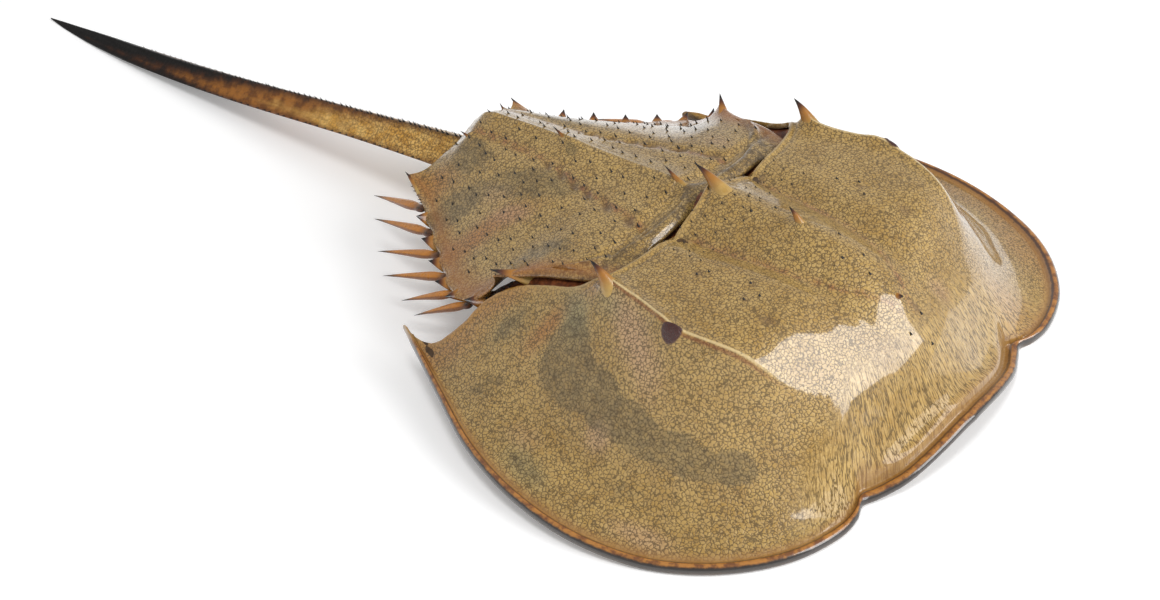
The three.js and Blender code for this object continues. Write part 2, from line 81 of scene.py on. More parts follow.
# %% [markdown]
# ## Curves from a few points
#
# Two kinds of curve are enough for the whole shell. A profile is a smooth line y(x) through knots,
# for heights and widths. An outline is a smooth line in plan through points, walked at even speed.
# Blender's own curve objects could do both, but plain arrays let one formula feed many vertices.

# %% Profiles and outlines
def profile(knots, x):
    """Smooth y(x) through knots (x, y) in rising x, level beyond both ends."""
    kx, ky = np.array(knots, float).T
    slope = np.empty_like(kx)
    slope[1:-1] = (ky[2:] - ky[:-2]) / (kx[2:] - kx[:-2])
    slope[0] = (ky[1] - ky[0]) / (kx[1] - kx[0])
    slope[-1] = (ky[-1] - ky[-2]) / (kx[-1] - kx[-2])
    x = np.clip(x, kx[0], kx[-1])
    k = np.clip(np.searchsorted(kx, x, side="right") - 1, 0, len(kx) - 2)
    span = kx[k + 1] - kx[k]
    t = (x - kx[k]) / span
    rise = 3 * t**2 - 2 * t**3
    bend = slope[k] * (t**3 - 2 * t**2 + t) + slope[k + 1] * (t**3 - t**2)
    return (1 - rise) * ky[k] + rise * ky[k + 1] + span * bend


def hill(distance, width):
    """1 at no distance, falling smoothly to nothing over about twice the width."""
    return np.exp(-((distance / width) ** 2))


def smoothstep(start, end, x):
    """0 before start, 1 after end, smooth between."""
    t = np.clip((x - start) / (end - start), 0, 1)
    return t * t * (3 - 2 * t)


OUTLINE_STEPS = 120  # samples between two neighbouring points of an outline


def outline(points):
    """Even-speed smooth curve through plan points: gives a function of the share of its length."""
    p = np.array(points, float)
    p = np.vstack([2 * p[0] - p[1], p, 2 * p[-1] - p[-2]])
    gap = np.sqrt(np.linalg.norm(np.diff(p, axis=0), axis=1))
    samples = []
    for k in range(1, len(p) - 2):
        p0, p1, p2, p3 = p[k - 1:k + 3]
        g0, g1, g2 = gap[k - 1:k + 2]
        start = g1 * ((p1 - p0) / g0 - (p2 - p0) / (g0 + g1) + (p2 - p1) / g1)
        end = g1 * ((p2 - p1) / g1 - (p3 - p1) / (g1 + g2) + (p3 - p2) / g2)
        t = np.linspace(0, 1, OUTLINE_STEPS, endpoint=False)[:, None]
        samples.append(p1 + start * t + (3 * (p2 - p1) - 2 * start - end) * t**2
                       + (2 * (p1 - p2) + start + end) * t**3)
    line = np.vstack(samples + [p[-2:-1]])
    length = np.concatenate([[0], np.cumsum(np.linalg.norm(np.diff(line, axis=0), axis=1))])
    share = length / length[-1]

    def at(t):
        return np.stack([np.interp(t, share, line[:, 0]), np.interp(t, share, line[:, 1])], axis=-1)

    return at


rim = outline([
    (115.5, 0), (114.2, 18), (110.5, 35.5), (105.2, 47), (102.6, 52.5), (104.8, 59),
    (105.2, 69), (98.5, 89), (82, 108.5), (60, 121.5), (33, HALF_WIDTH), (5, 125.8),
    (-22, 118), (-49, 104), (-67, 94), (-80.5, 86.5),
])
rear_edge = outline([
    (0, 0), (0, 22), (-0.6, 40), (-5, 56), (-10, 61.5), (-26, 64), (-40, 67),
    (-49.5, 73.5), (-54.5, 82), (-62, 88), (-71, 88.6), (-80.5, 86.5),
])
side_margin = outline([
    (-4, 54), (-18, 58.5), (-34, 62), (-46, 66.5), (-54, 70.5), (-62, 70.5), (-70, 67.5),
    (-79, 61.5), (-90, 53), (-101, 45), (-112, 37.5), (-119, 34.5), (-124, 32.3),
])
tail_bay = outline([
    (-117, 0), (-117.5, 7), (-118.5, 12), (-120, 15.5), (-121, 21), (-122, 27), (-124, 32.3),
])
print("rear corner of the front plate:", rim(1.0), "meets its rear edge:", rear_edge(1.0))

# %% [markdown]
# ## The dome of the front plate
#
# On the animal this plate is a shallow dome with a flared brim. Its height falls from the dome top to
# the rim, faster to the sides than ahead, and a heart lobe, two furrows and two eye ridges stand on
# it. It could be sculpted, but a height formula keeps it equal to the solid frame to the millimetre.

# %% Height of the front plate
REST_FROM = math.radians(36)
REST_TO = math.radians(76)
FRONT_LIFT = 9.0
GENAL_LIFT = 14.5
BRIM_HEIGHT = 3.0
corner = rim(1.0)
GENAL_ANGLE = math.atan2(corner[1], corner[0] - DOME_X)


def rim_base(angle):
    """Height of the underside of the rim: it rests between two directions and lifts elsewhere."""
    ahead = FRONT_LIFT * (1 - (np.minimum(angle, REST_FROM) / REST_FROM) ** 2) ** 2
    behind = GENAL_LIFT * (np.maximum(angle - REST_TO, 0) / (GENAL_ANGLE - REST_TO)) ** 1.2
    return ahead + behind


rim_points = rim(np.linspace(0, 1, 400))
rim_angle = np.append(np.arctan2(rim_points[:, 1], rim_points[:, 0] - DOME_X), (0.9 * math.pi, math.pi))
rim_reach = np.append(np.hypot(rim_points[:, 0] - DOME_X, rim_points[:, 1]), (162, 170))

DOME_FOOT = 5.0  # the dome ends this far inside the rim
AHEAD_TURNS = (0.55, 1.15)  # radians from straight ahead over which ahead gives way to aside
BEHIND_TURNS = (1.65, 2.5)  # and aside to behind
FALL_AHEAD = [
    (0, 1), (0.31, 0.97), (0.52, 0.87), (0.65, 0.73), (0.77, 0.55), (0.86, 0.31), (0.93, 0.11),
    (0.97, 0.035), (1, 0),
]
FALL_ASIDE = [(0, 1), (0.31, 0.985), (0.5, 0.955), (0.58, 0.87), (0.66, 0.67), (0.74, 0.43), (0.81, 0.23),
              (0.87, 0.12), (0.93, 0.06), (1, 0)]
FALL_BEHIND = [
    (0, 1), (0.31, 0.97), (0.52, 0.89), (0.645, 0.74), (0.78, 0.5), (0.9, 0.225), (0.96, 0.08), (1, 0),
]
EYE_RIDGE = [(-12, 61), (4, 61.8), (18, 64.5), (31, 68), (42, 67), (56, 63.5), (68, 59), (78, 52)]
CALM_STEPS = np.arange(-7, 8) * 0.045  # directions averaged, so that the notch shows only near the rim
CALM_ENDS = (0.88, 1)  # shares of the way to the rim over which the true outline takes over
LOBE_ENDS = (45, 92)
KEEL_HEIGHT, KEEL_WIDTH = 4.6, 10
FURROW_DEPTH, FURROW_WIDTH = 3, 6
RIDGE_HEIGHT, RIDGE_WIDTH = 2, 4.5
EYE_BULGE, EYE_BULGE_AT, EYE_BULGE_WIDTH = 1.6, (28, 68), 5


def furrow_y(x):
    """Distance from the midline of the furrow beside the heart lobe."""
    return 24 - 0.12 * x


def dome(x, y):
    """Height of the plain front plate over the surface it lies on."""
    side = np.abs(y)
    angle = np.arctan2(side, x - DOME_X)
    reach = np.interp(angle, rim_angle, rim_reach)
    distance = np.hypot(x - DOME_X, side)
    around = [np.interp(np.abs(angle + step), rim_angle, rim_reach) for step in CALM_STEPS]
    calm_reach = sum(around) / len(CALM_STEPS)
    reach = calm_reach + (reach - calm_reach) * smoothstep(*CALM_ENDS, distance / reach)
    out = distance / (reach - DOME_FOOT)
    ahead = 1 - smoothstep(*AHEAD_TURNS, angle)
    behind = smoothstep(*BEHIND_TURNS, angle)
    share = (ahead * profile(FALL_AHEAD, out) + behind * profile(FALL_BEHIND, out)
             + (1 - ahead - behind) * profile(FALL_ASIDE, out))
    base = rim_base(angle) + BRIM_HEIGHT
    lobe = 1 - smoothstep(*LOBE_ENDS, x)
    keel = KEEL_HEIGHT * lobe * hill(side, KEEL_WIDTH)
    furrow = FURROW_DEPTH * lobe * hill(side - furrow_y(x), FURROW_WIDTH)
    ridge_length = smoothstep(-20, -4, x) * (1 - smoothstep(62, 84, x))
    ridge = RIDGE_HEIGHT * ridge_length * hill(side - profile(EYE_RIDGE, x), RIDGE_WIDTH)
    eye = EYE_BULGE * hill(np.hypot(x - EYE_BULGE_AT[0], side - EYE_BULGE_AT[1]), EYE_BULGE_WIDTH)
    return base + (DOME_Z - base) * share + keel - furrow + ridge + eye


print("dome top:", round(float(dome(np.array(DOME_X), np.array(0.0))), 1), "mm high")

# %% [markdown]
# ## The roof of the rear plate
#
# The rear plate is a low roof: highest along its midline, falling to a thorny margin. Its plan is
# blended from four outlines, so that lines run smoothly from hinge to tail and from keel to margin.

# %% Height of the rear plate
KEEL_LINE = [
    (-121, 40), (-116, 45.5), (-110, 51), (-95, 53.2), (-70, 54.8), (-40, 56), (-14, 57.5), (0, 56.5),
]
MARGIN_LINE = [(0, 52.5), (0.12, 51), (0.25, 46.5), (0.33, 39), (0.4, 31.5), (0.5, 27.5), (0.7, 26.5),
               (0.88, 29), (1, 35)]
FALL_TO_MARGIN = [(0, 1), (0.3, 0.89), (0.5, 0.69), (0.7, 0.42), (0.88, 0.14), (1, 0)]
FRONT_X = -2.4
FRONT_SWEEP = 1.6


def roof_plan(u, v):
    """Plan point of the rear plate: u from hinge to tail, v from the midline to the side margin."""
    u, v = np.broadcast_arrays(u, v)
    way = np.abs(v)[..., None]
    along = u[..., None]
    front = np.stack([FRONT_X - FRONT_SWEEP * way[..., 0] ** 2, side_margin(0.0)[1] * way[..., 0]], axis=-1)
    front_middle = np.array([FRONT_X, 0.0])
    rear_middle = tail_bay(0.0)
    across = (front_middle * (1 - along) + rear_middle * along) * (1 - way) + side_margin(u) * way
    lengthways = front * (1 - along) + tail_bay(way[..., 0]) * along
    near_corners = front_middle * (1 - way) + side_margin(0.0) * way
    far_corners = rear_middle * (1 - way) + tail_bay(1.0) * way
    plan = across + lengthways - (near_corners * (1 - along) + far_corners * along)
    return plan * np.stack([np.ones_like(v), np.sign(v)], axis=-1)


def roof(u, v):
    """Point of the plain rear plate."""
    plan = roof_plan(u, v)
    x, y = plan[..., 0], plan[..., 1]
    margin = profile(MARGIN_LINE, u)
    rise = (profile(KEEL_LINE, x) - margin) * profile(FALL_TO_MARGIN, np.abs(v))
    keel = 2.6 * hill(y, 8) * (1 - smoothstep(-18, -4, x))
    groove = 1.6 * hill(x + 13, 2.2) * (1 - smoothstep(0.75, 1, np.abs(v)))
    return np.stack([x, y, margin + rise + keel - groove], axis=-1)


print("rear plate from", roof(np.array(0.0), np.array(0.0)), "to", roof(np.array(1.0), np.array(0.0)))

# %% [markdown]
# ## Building meshes from sheets
#
# Every hard piece here is a sheet of points bent round and closed: rows of points across, and rows
# along. A heap collects such sheets, with numbers painted on their points, and turns them into one
# object. The painted numbers (masks) tell the finishes where the rim, an eye or a thorn's tip is, which
# keeps the masks and the shape in step. Painting by hand would do the same, but not repeatably.

# %% A heap of sheets
WELD = 2e-6  # metres; points closer than this become one
SHARP = math.radians(62)  # edges bent further than this stay sharp


class Heap:
    """Points, faces and painted masks of one object, collected sheet by sheet."""

    def __init__(self):
        self.points = []
        self.faces = []
        self.masks = {}
        self.count = 0

    def add(self, points, faces, **masks):
        points = np.asarray(points, float).reshape(-1, 3)
        for name in masks:
            self.masks.setdefault(name, np.zeros(self.count))
        for name in self.masks:
            values = np.broadcast_to(masks.get(name, 0.0), len(points))
            self.masks[name] = np.concatenate([self.masks[name], values])
        self.faces.extend((np.asarray(face) + self.count).tolist() for face in faces)
        self.points.append(points)
        self.count += len(points)

    def make(self, name, material, slot, node):
        """The finished object: welded, facing out, smooth, riding on the body of the frame."""
        mesh = bpy.data.meshes.new(name)
        mesh.from_pydata(to_frame(np.vstack(self.points)), [], self.faces)
        for mask, values in self.masks.items():
            layer = mesh.attributes.new(mask, "FLOAT", "POINT")
            layer.data.foreach_set("value", values.astype(np.float32))
        tool = bmesh.new()
        tool.from_mesh(mesh)
        bmesh.ops.remove_doubles(tool, verts=tool.verts, dist=WELD)
        bmesh.ops.recalc_face_normals(tool, faces=tool.faces)
        tool.to_mesh(mesh)
        tool.free()
        mesh.polygons.foreach_set("use_smooth", np.ones(len(mesh.polygons), bool))
        mesh.set_sharp_from_angle(angle=SHARP)
        mesh.materials.append(material)
        piece = bpy.data.objects.new(name, mesh)
        bpy.context.scene.collection.objects.link(piece)
        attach(piece, "root")
        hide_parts(node)
        print(name, "has", len(mesh.vertices), "points and", len(mesh.polygons), "faces")
        return piece


def sheet_faces(rows, columns, round_columns=False):
    """Quads between the points of a sheet with this many rows and columns."""
    number = np.arange(rows * columns).reshape(rows, columns)
    if round_columns:
        number = np.hstack([number, number[:, :1]])
    corners = (number[:-1, :-1], number[:-1, 1:], number[1:, 1:], number[1:, :-1])
    return np.stack(corners, axis=-1).reshape(-1, 4)


print("a 3 by 4 sheet has", len(sheet_faces(3, 4)), "faces")

# %% [markdown]
# ## Spikes of every size
#
# The shell carries thorns, teeth, lances and hundreds of tiny spinules. All are the same form: a tube
# round a gently bent line, thick at the root and ending in a point. One function sweeps it, and the
# share of the way to the tip is painted on it, so that the finish can darken towards the point.

# %% Spikes
THORN = [(0, 1), (0.3, 0.62), (0.6, 0.34), (0.85, 0.14), (1, 0.02)]  # thickness over the way to the tip


def spike(heap, root, tip, radius, bow=(0, 0, 0), shape=THORN, flatness=1.0, rings=12, sides=12, **masks):
    """Adds a spike from root to tip, bent by bow in its middle and flattened across."""
    root, tip, bow = (np.asarray(p, float) for p in (root, tip, bow))
    share = np.linspace(0, 1, rings)[:, None]
    middle = (root + tip) / 2 + bow
    line = (1 - share) ** 2 * root + 2 * share * (1 - share) * middle + share**2 * tip
    along = 2 * (1 - share) * (middle - root) + 2 * share * (tip - middle)
    along /= np.linalg.norm(along, axis=1, keepdims=True)
    up = np.cross((0, 1, 0), along)
    up /= np.linalg.norm(up, axis=1, keepdims=True)
    flat = np.cross(along, up)
    turn = np.arange(sides) * 2 * math.pi / sides
    size = radius * profile(shape, share[:, 0])[:, None, None]
    ring = (flat[:, None] * np.cos(turn)[None, :, None]
            + up[:, None] * np.sin(turn)[None, :, None] * flatness)
    points = line[:, None] + ring * size
    faces = sheet_faces(rings, sides, round_columns=True).tolist()
    faces.append(np.arange(sides))
    faces.append(np.arange(sides) + (rings - 1) * sides)
    tips = np.repeat(share[:, 0], sides)
    heap.add(points, faces, thorn=1.0, tip=tips, blade=np.tile(np.abs(np.cos(turn)), rings), **masks)


def spinule(heap, root, lean, height, radius):
    """Adds one tiny black cone."""
    tip = np.asarray(root, float) + np.asarray(lean, float) * height
    sunk = np.asarray(root, float) - np.asarray(lean, float) * height * 0.3
    spike(heap, sunk, tip, radius, rings=3, sides=5, spinule=1.0)


def swell(points, foot, tip, reach, share):
    """Draws the skin round a thorn's foot together towards its tip, so that it grows out of the shell."""
    foot, tip = np.asarray(foot, float), np.asarray(tip, float)
    distance = np.linalg.norm((points - foot)[..., :2], axis=-1)
    pull = share * np.exp(-((distance / reach) ** 1.2))
    return points + pull[..., None] * (tip - points)


print("thorn thickness at half way:", profile(THORN, 0.5))

# %% [markdown]
# ## Fine relief of the front plate
#
# Beyond the broad dome the real plate has a sharp crest along each eye ridge, kidney-shaped eyes under
# it, a raised fold behind the middle of the front rim, dents where muscles were fixed, and a rolled
# rim. These are added to the height as small hills and hollows, sharp where the real ones are sharp.

# %% Relief of the front plate
EYE_RIDGE_ENDS = (-6, 3, 58, 76)  # the crest rises and dies away between these
STREAK = [(-2, 24.5), (10, 21), (24, 20), (45, 17.7), (60, 14.5), (70, 10.5), (84, 3)]
EYE_PLACE = (33.5, 69.0)
EYE_TURN = math.radians(-16)
FRONT_DENTS = [  # x, y, radius, depth
    (56.6, -44.6, 3.2, 0.5), (56.6, -11.6, 2.6, 0.4), (59.6, 37.0, 3.4, 0.5), (21.8, -38.6, 2.2, 0.3),
    (42.0, -36.5, 2.6, 0.3), (40.0, 38.0, 2.4, 0.3), (20.0, 40.5, 2.4, 0.3), (84.8, 21.4, 3.6, 0.35),
]
FOLD = 7.0  # the front fold lies this far inside the rim
FOLD_ENDS = (36, 49)
FOLD_HEIGHT, FOLD_WIDTH = 1.5, 2.6
BEHIND_FOLD, BEHIND_SHARE, BEHIND_WIDTH = 7, 0.7, 3.6  # the hollow behind the fold
CREST_HEIGHT, CREST_WIDTH, CREST_OFFSET = 1.5, 2.4, 1.2
EYE_LENGTH, EYE_WIDTH, EYE_BEND = 3.9, 2.5, 0.06
EYE_HEIGHT = 1.3
CREASE_WIDTH = 1.3


def eye_distance(x, y):
    """1 at the edge of either compound eye, 0 at its middle; the eye is a bent oval."""
    along = (x - EYE_PLACE[0]) * math.cos(EYE_TURN) + (np.abs(y) - EYE_PLACE[1]) * math.sin(EYE_TURN)
    across = -(x - EYE_PLACE[0]) * math.sin(EYE_TURN) + (np.abs(y) - EYE_PLACE[1]) * math.cos(EYE_TURN)
    return np.hypot(along / EYE_LENGTH, (across + EYE_BEND * along**2) / EYE_WIDTH)


def crest_length(x):
    """1 along the part of the eye ridge that has a sharp crest."""
    rise_from, rise_to, fall_from, fall_to = EYE_RIDGE_ENDS
    return smoothstep(rise_from, rise_to, x) * (1 - smoothstep(fall_from, fall_to, x))


def crest_side(x, y):
    """Distance outside the crest of the eye ridge."""
    return np.abs(y) - profile(EYE_RIDGE, x) + CREST_OFFSET


def front_relief(x, y, inward):
    """Extra height of the front plate; inward is the distance in from the rim."""
    fold_length = (1 - smoothstep(*FOLD_ENDS, np.abs(y))) * smoothstep(60, 80, x)
    fold = hill(inward - FOLD, FOLD_WIDTH) - BEHIND_SHARE * hill(inward - FOLD - BEHIND_FOLD, BEHIND_WIDTH)
    height = FOLD_HEIGHT * fold_length * fold
    height = height + CREST_HEIGHT * crest_length(x) * np.exp(-np.abs(crest_side(x, y)) / CREST_WIDTH)
    height = height + EYE_HEIGHT * (1 - smoothstep(0.55, 1.25, eye_distance(x, y)))
    crease = (1 - smoothstep(4, 60, x)) * 0.9 + 0.35 * (1 - smoothstep(60, 84, x))
    height = height - crease * hill(np.abs(y) - profile(STREAK, x), CREASE_WIDTH)
    for dent_x, dent_y, radius, depth in FRONT_DENTS:
        height = height - depth * hill(np.hypot(x - dent_x, y - dent_y), radius)
    return height


print("crest at the eye:", round(float(crest_side(np.array(31.0), np.array(66.8))), 2), "mm off")

# %% [markdown]
# ## The front plate
#
# Rays run from the midline out to the rim; along each ray the outer skin goes out, rolls round the
# rim, turns in under it as a lip and comes back as the inner skin. Neighbouring rays make the plate,
# one closed wall. Rays are close together and steps are closest near the rim, where the bends are.

# %% Sheet of the front plate
EVEN_OUT = 0.8  # below 1, this brings the steps of a ray closer together near the rim
RAYS = 210  # on each side
OUTER_STEPS = 104
INNER_STEPS = 22
RIM_SHARE = 6.6  # mm of every ray that belong to the rolled rim
RIM_STEPS = 46
FIRST_RAY_X = 62.0
rim_section = outline([
    (6.0, 2.9), (5.2, 2.45), (4.3, 2.95), (2.7, 3.85), (1.2, 3.6), (0.2, 2.6), (0.05, 1.3), (0.7, 0.25),
    (1.5, 0), (3.7, 0), (8, 0.75), (12.6, 1.5), (13.3, 2.15), (12.6, 2.75), (9, 2.1), (5.6, 1.2),
])


def ray_plan(s, t):
    """Plan point at share t of the way along ray s; s is 0 ahead and 1 along the rear edge."""
    start = np.stack([FIRST_RAY_X * (1 - s) ** 1.3, np.zeros_like(s)], axis=-1)
    straight = start + (rim(s) - start) * t[..., None]
    bend = rear_edge(t) - rim(1.0) * t[..., None]
    return straight + bend * (s**3)[..., None]


s = np.linspace(-1, 1, 2 * RAYS + 1)[:, None]
side = np.where(s < 0, -1.0, 1.0)
bent = np.abs(s)
start = ray_plan(bent, np.zeros_like(bent))
length = np.linalg.norm(rim(bent) - start, axis=-1)
base = rim_base(np.arctan2(rim(bent)[..., 1], rim(bent)[..., 0] - DOME_X))


def ray_sheet(inward):
    """Plan x and y of every ray at the given distances in from the rim."""
    plan = ray_plan(*np.broadcast_arrays(bent, 1 - inward / length))
    return plan[..., 0], plan[..., 1] * side


steps = np.linspace(0, 1, OUTER_STEPS)[None, :]
outer_inward = (length - RIM_SHARE) * (1 - steps**EVEN_OUT) + RIM_SHARE
x, y = ray_sheet(outer_inward)
outer = np.stack([x, y, dome(x, y) + front_relief(x, y, outer_inward)], axis=-1)

section = rim_section(np.linspace(0, 1, RIM_STEPS))
x, y = ray_sheet(section[None, :, 0])
roll = np.stack([x, y, base + section[None, :, 1]], axis=-1)

steps = np.linspace(1, 0, INNER_STEPS)[None, :]
inner_inward = (length - RIM_SHARE) * (1 - steps**EVEN_OUT) + RIM_SHARE
x, y = ray_sheet(inner_inward)
NUDGE = 0.5
slope_x = (dome(x + NUDGE, y) - dome(x - NUDGE, y)) / (2 * NUDGE)
slope_y = (dome(x, y + NUDGE) - dome(x, y - NUDGE)) / (2 * NUDGE)
slope_y[:, -1] = 0
upright = np.sqrt(1 + slope_x**2 + slope_y**2)
inner = np.stack([x + PLATE * slope_x / upright, y + PLATE * slope_y / upright,
                  dome(x, y) - PLATE / upright], axis=-1)
inner[:, -1, 1] = 0
print("outer skin", outer.shape, "rim", roll.shape, "inner skin", inner.shape)

# %% [markdown]
# ## Closing a sheet
#
# The front plate ends in a long thin rear edge, the rear plate in two. There the outer and the inner
# skin meet across the thickness of the wall. The skins have different numbers of points, so their
# edges are zipped together, always stepping on along the one that lags behind.

# %% Zips between two edges
def zip_edges(first, second):
    """Triangles between two lines of point numbers that run the same way."""
    faces = []
    i = j = 0
    while i < len(first) - 1 or j < len(second) - 1:
        lag = (i + 1) / len(first) <= (j + 1) / len(second)
        if j == len(second) - 1 or (lag and i < len(first) - 1):
            faces.append([first[i], first[i + 1], second[j]])
            i += 1
        else:
            faces.append([first[i], second[j + 1], second[j]])
            j += 1
    return faces


print("two edges of 3 and 5 points take", len(zip_edges([0, 1, 2], [3, 4, 5, 6, 7])), "triangles")

# %% [markdown]
# ## Marks on the front plate
#
# The plate is not one colour: a dark band under the right eye is partly old mud and partly painted shade
# of the steep slope there, the rear corners and the rim are amber, reddish lines follow the furrows, and a
# few pale and purple patches remain. Each is a soft spot at a place on the plate. Stains, and the shade in
# that band, are painted as masks here, and coloured by the finish.

# %% Spots
def spots(x, y, places):
    """Sum of soft spots (x, y, half length, half width, turn in degrees, strength)."""
    total = np.zeros(np.broadcast(x, y).shape)
    for sx, sy, half_length, half_width, turn, strength in places:
        c, s = math.cos(math.radians(turn)), math.sin(math.radians(turn))
        along = ((x - sx) * c + (y - sy) * s) / half_length
        across = (-(x - sx) * s + (y - sy) * c) / half_width
        total = total + strength * np.exp(-((along**2 + across**2) ** 1.5))
    return np.clip(total, 0, 1)


# Spots of old mud; those along the steep slope under the right eye also stand for its shade, as painted
# shade.
MUD_AND_SHADE = [
    (0, -83, 13, 6.5, -52, 1.0), (17, -88.5, 11, 6, -20, 1.0), (34, -90.5, 11, 5, -3, 0.9),
    (52, -88, 11, 4.5, 14, 0.9), (68, -80.5, 9, 4, 35, 0.8), (-6, -84, 10, 9, -40, 0.6),
    (-33, -79, 9, 5, 50, 0.5), (-30, -97, 13, 6, 35, 0.4), (2, -114, 14, 5, -15, 0.4),
    (38, -104, 16, 4, 5, 0.35), (30, 92, 26, 8, 0, 0.4), (62, 86, 16, 8, -25, 0.4),
]
TEAL = [
    (-8, -71, 10, 5, -40, 0.8), (4, -66, 8, 4, -20, 0.5), (-34, -79, 9, 5, 50, 0.3),
    (2, -114, 12, 5, -15, 0.5),
]
PINK = [
    (17, -71, 12, 5, -35, 0.8), (30, -78, 8, 5, -30, 0.5), (21, -96, 5, 3.5, 0, 0.7),
    (53, -113, 12, 4, 12, 0.6), (85, 21, 4, 4, 0, 0.5), (-5, -106, 7, 4, 0, 0.3),
]
AMBER = [
    (-62, -92, 22, 8, 30, 0.8), (-62, 92, 22, 8, -30, 0.8), (-17, -76, 10, 4, 60, 0.9),
    (-17, 76, 10, 4, -60, 0.7), (-44, -72, 14, 5, 30, 0.7), (-44, 72, 14, 5, -30, 0.7),
    (-2, -63, 8, 4, 0, 0.6), (-2, 63, 8, 4, 0, 0.6), (-2, 0, 7, 7, 0, 0.5), (95, 60, 14, 10, 60, 0.35),
    (20, 116, 40, 7, 0, 0.5), (70, 104, 24, 8, -35, 0.5),
]
DULL = [(97, -62, 14, 10, 0, 1), (90, -56, 9, 9, 0, 0.7), (101, -20, 30, 8, 80, 0.9)]
SCARS = [
    (56.6, -44.6, 3.0, 2.2, 30, 0.9), (59.6, 37, 3.4, 2.4, 0, 0.8), (21.8, -38.6, 2, 1.4, 0, 0.7),
    (42, -33, 2, 1.2, 0, 0.7), (44, -41, 1.6, 1.1, 0, 0.7), (40, 38, 1.8, 1.2, 0, 0.6),
    (20, 40.5, 2, 1.3, 0, 0.6), (4.5, 24, 2.6, 1.6, 60, 0.7), (86, 4, 2.4, 1.6, 0, 0.8),
    (85, 21, 3.4, 1.0, 0, 0.4),
]
print("mud on the midline:", spots(np.array(0.0), np.array(0.0), MUD_AND_SHADE))

# %% [markdown]
# ## The front plate, put together
#
# The three parts of every ray join into one closed chain. The skin is drawn up round the roots of the
# five thorns before they are added, so each stands on a flared foot as on the animal. Thorns on a shell
# are hollow folds of its skin; welding separate cones on would leave a hard line at their roots.

# %% Front plate
FOOT_REACH, FOOT_SHARE = 1.15, 0.5  # how far round a thorn the skin rises, and how much of its height
ROOT_DEPTH = 1.5
FRONT_THORNS = [
    ((5, 0), (-7.7, 0, 70.8), 4.2, 2), ((40, 0), (34, 0, 69), 2.6, 1), ((79, 0), (83, 0, 50.7), 2.8, 0),
    ((2, -61.5), (-7.1, -62.2, 65.5), 4.4, 2), ((2, 61.5), (-7.1, 62.2, 65.5), 4.4, 2),
]
chain = np.concatenate([outer, roll, inner], axis=1)
rays, chain_points = chain.shape[:2]
roll_first = OUTER_STEPS
roll_last = OUTER_STEPS + RIM_STEPS
x, y = chain[..., 0], chain[..., 1]

roots = {}
for (at_x, at_y), tip, radius, bow in FRONT_THORNS:
    root = (at_x, at_y, float(dome(np.array(float(at_x)), np.array(float(at_y)))) - ROOT_DEPTH)
    roots[(at_x, at_y)] = root
    chain = swell(chain, root, tip, radius * FOOT_REACH, FOOT_SHARE)

FAR_IN = 60  # mm; beyond this the finish no longer asks how far in from the rim a point is
edge_line = rear_edge(np.linspace(0, 1, 160))
near_edge = np.min(np.hypot(x[..., None] - edge_line[:, 0], np.abs(y)[..., None] - edge_line[:, 1]), axis=-1)
top_side = np.zeros(chain_points)
top_side[:roll_first + RIM_STEPS // 3] = 1
chain[..., 2] += top_side * (0.45 * hill(near_edge - 0.9, 0.8) - 0.25 * hill(near_edge - 2.8, 0.9))

inward = np.concatenate([np.broadcast_to(outer_inward, outer.shape[:2]),
                         np.broadcast_to(section[None, :, 0], roll.shape[:2]),
                         np.broadcast_to(inner_inward, inner.shape[:2])], axis=1)
under = np.ones(chain_points)
under[:roll_first + 10] = 0
under[roll_first + 10:roll_first + 16] = np.linspace(0, 1, 6)
direction = np.arctan2(y, x - DOME_X)
ahead = 1 - smoothstep(0.75, 1.0, np.abs(direction))
in_furrow = hill(np.abs(y) - profile(STREAK, x), 1.4)
masks = {
    "inward": np.minimum(inward, FAR_IN).ravel(),
    "around": (direction * 100).ravel(),
    "under": np.broadcast_to(under, inward.shape).ravel(),
    "rimmed": np.broadcast_to(1 - 0.8 * smoothstep(0.955, 0.985, bent), inward.shape).ravel(),
    "stretch": ((1 - smoothstep(20, 34, inward)) * ahead).ravel(),
    "calm": np.maximum(1 - smoothstep(3.5, 8, inward), 0.7 * hill(near_edge, 1.6)).ravel(),
    "eye": np.maximum(2 - eye_distance(x, y), 0).ravel(),
    "crest": crest_length(x).ravel(),
    "crest_side": np.clip(crest_side(x, y), -6, 6).ravel(),
    "streak": (in_furrow * (1 - smoothstep(78, 90, x)) * smoothstep(2, 9, x)).ravel(),
    "mud_and_shade": spots(x, y, MUD_AND_SHADE).ravel(),
    "teal": spots(x, y, TEAL).ravel(),
    "pink": spots(x, y, PINK).ravel(),
    "amber": spots(x, y, AMBER).ravel(),
    "pit": spots(x, y, SCARS).ravel(),
    "dull": spots(x, y, DULL).ravel(),
}
for mask in masks:
    if mask not in ("inward", "around", "under", "rimmed", "crest_side"):
        masks[mask] = masks[mask] * np.broadcast_to(1 - under, inward.shape).ravel()

front = Heap()
faces = sheet_faces(rays, chain_points).tolist()
for row in (0, rays - 1):
    number = np.arange(chain_points) + row * chain_points
    faces.append(number[roll_first:roll_last].tolist())
    faces += zip_edges(number[:roll_first + 1].tolist(), number[roll_last - 1:][::-1].tolist())
front.add(chain, faces, **masks)
for (at_x, at_y), tip, radius, bow in FRONT_THORNS:
    spike(front, roots[(at_x, at_y)], tip, radius, (bow / 2, 0, bow), rings=18, sides=18, inward=FAR_IN)
print("front plate:", front.count, "points before welding")

# %% [markdown]
# ## The rear plate
#
# It is built like the front one, as a closed sheet bent round its side margins, but its rows run across
# from margin to margin. Its roof has a rolled glossy border behind the hinge, five pairs of pits where
# muscles were fixed, a shallow trough inside each margin, and a margin drawn out into teeth.

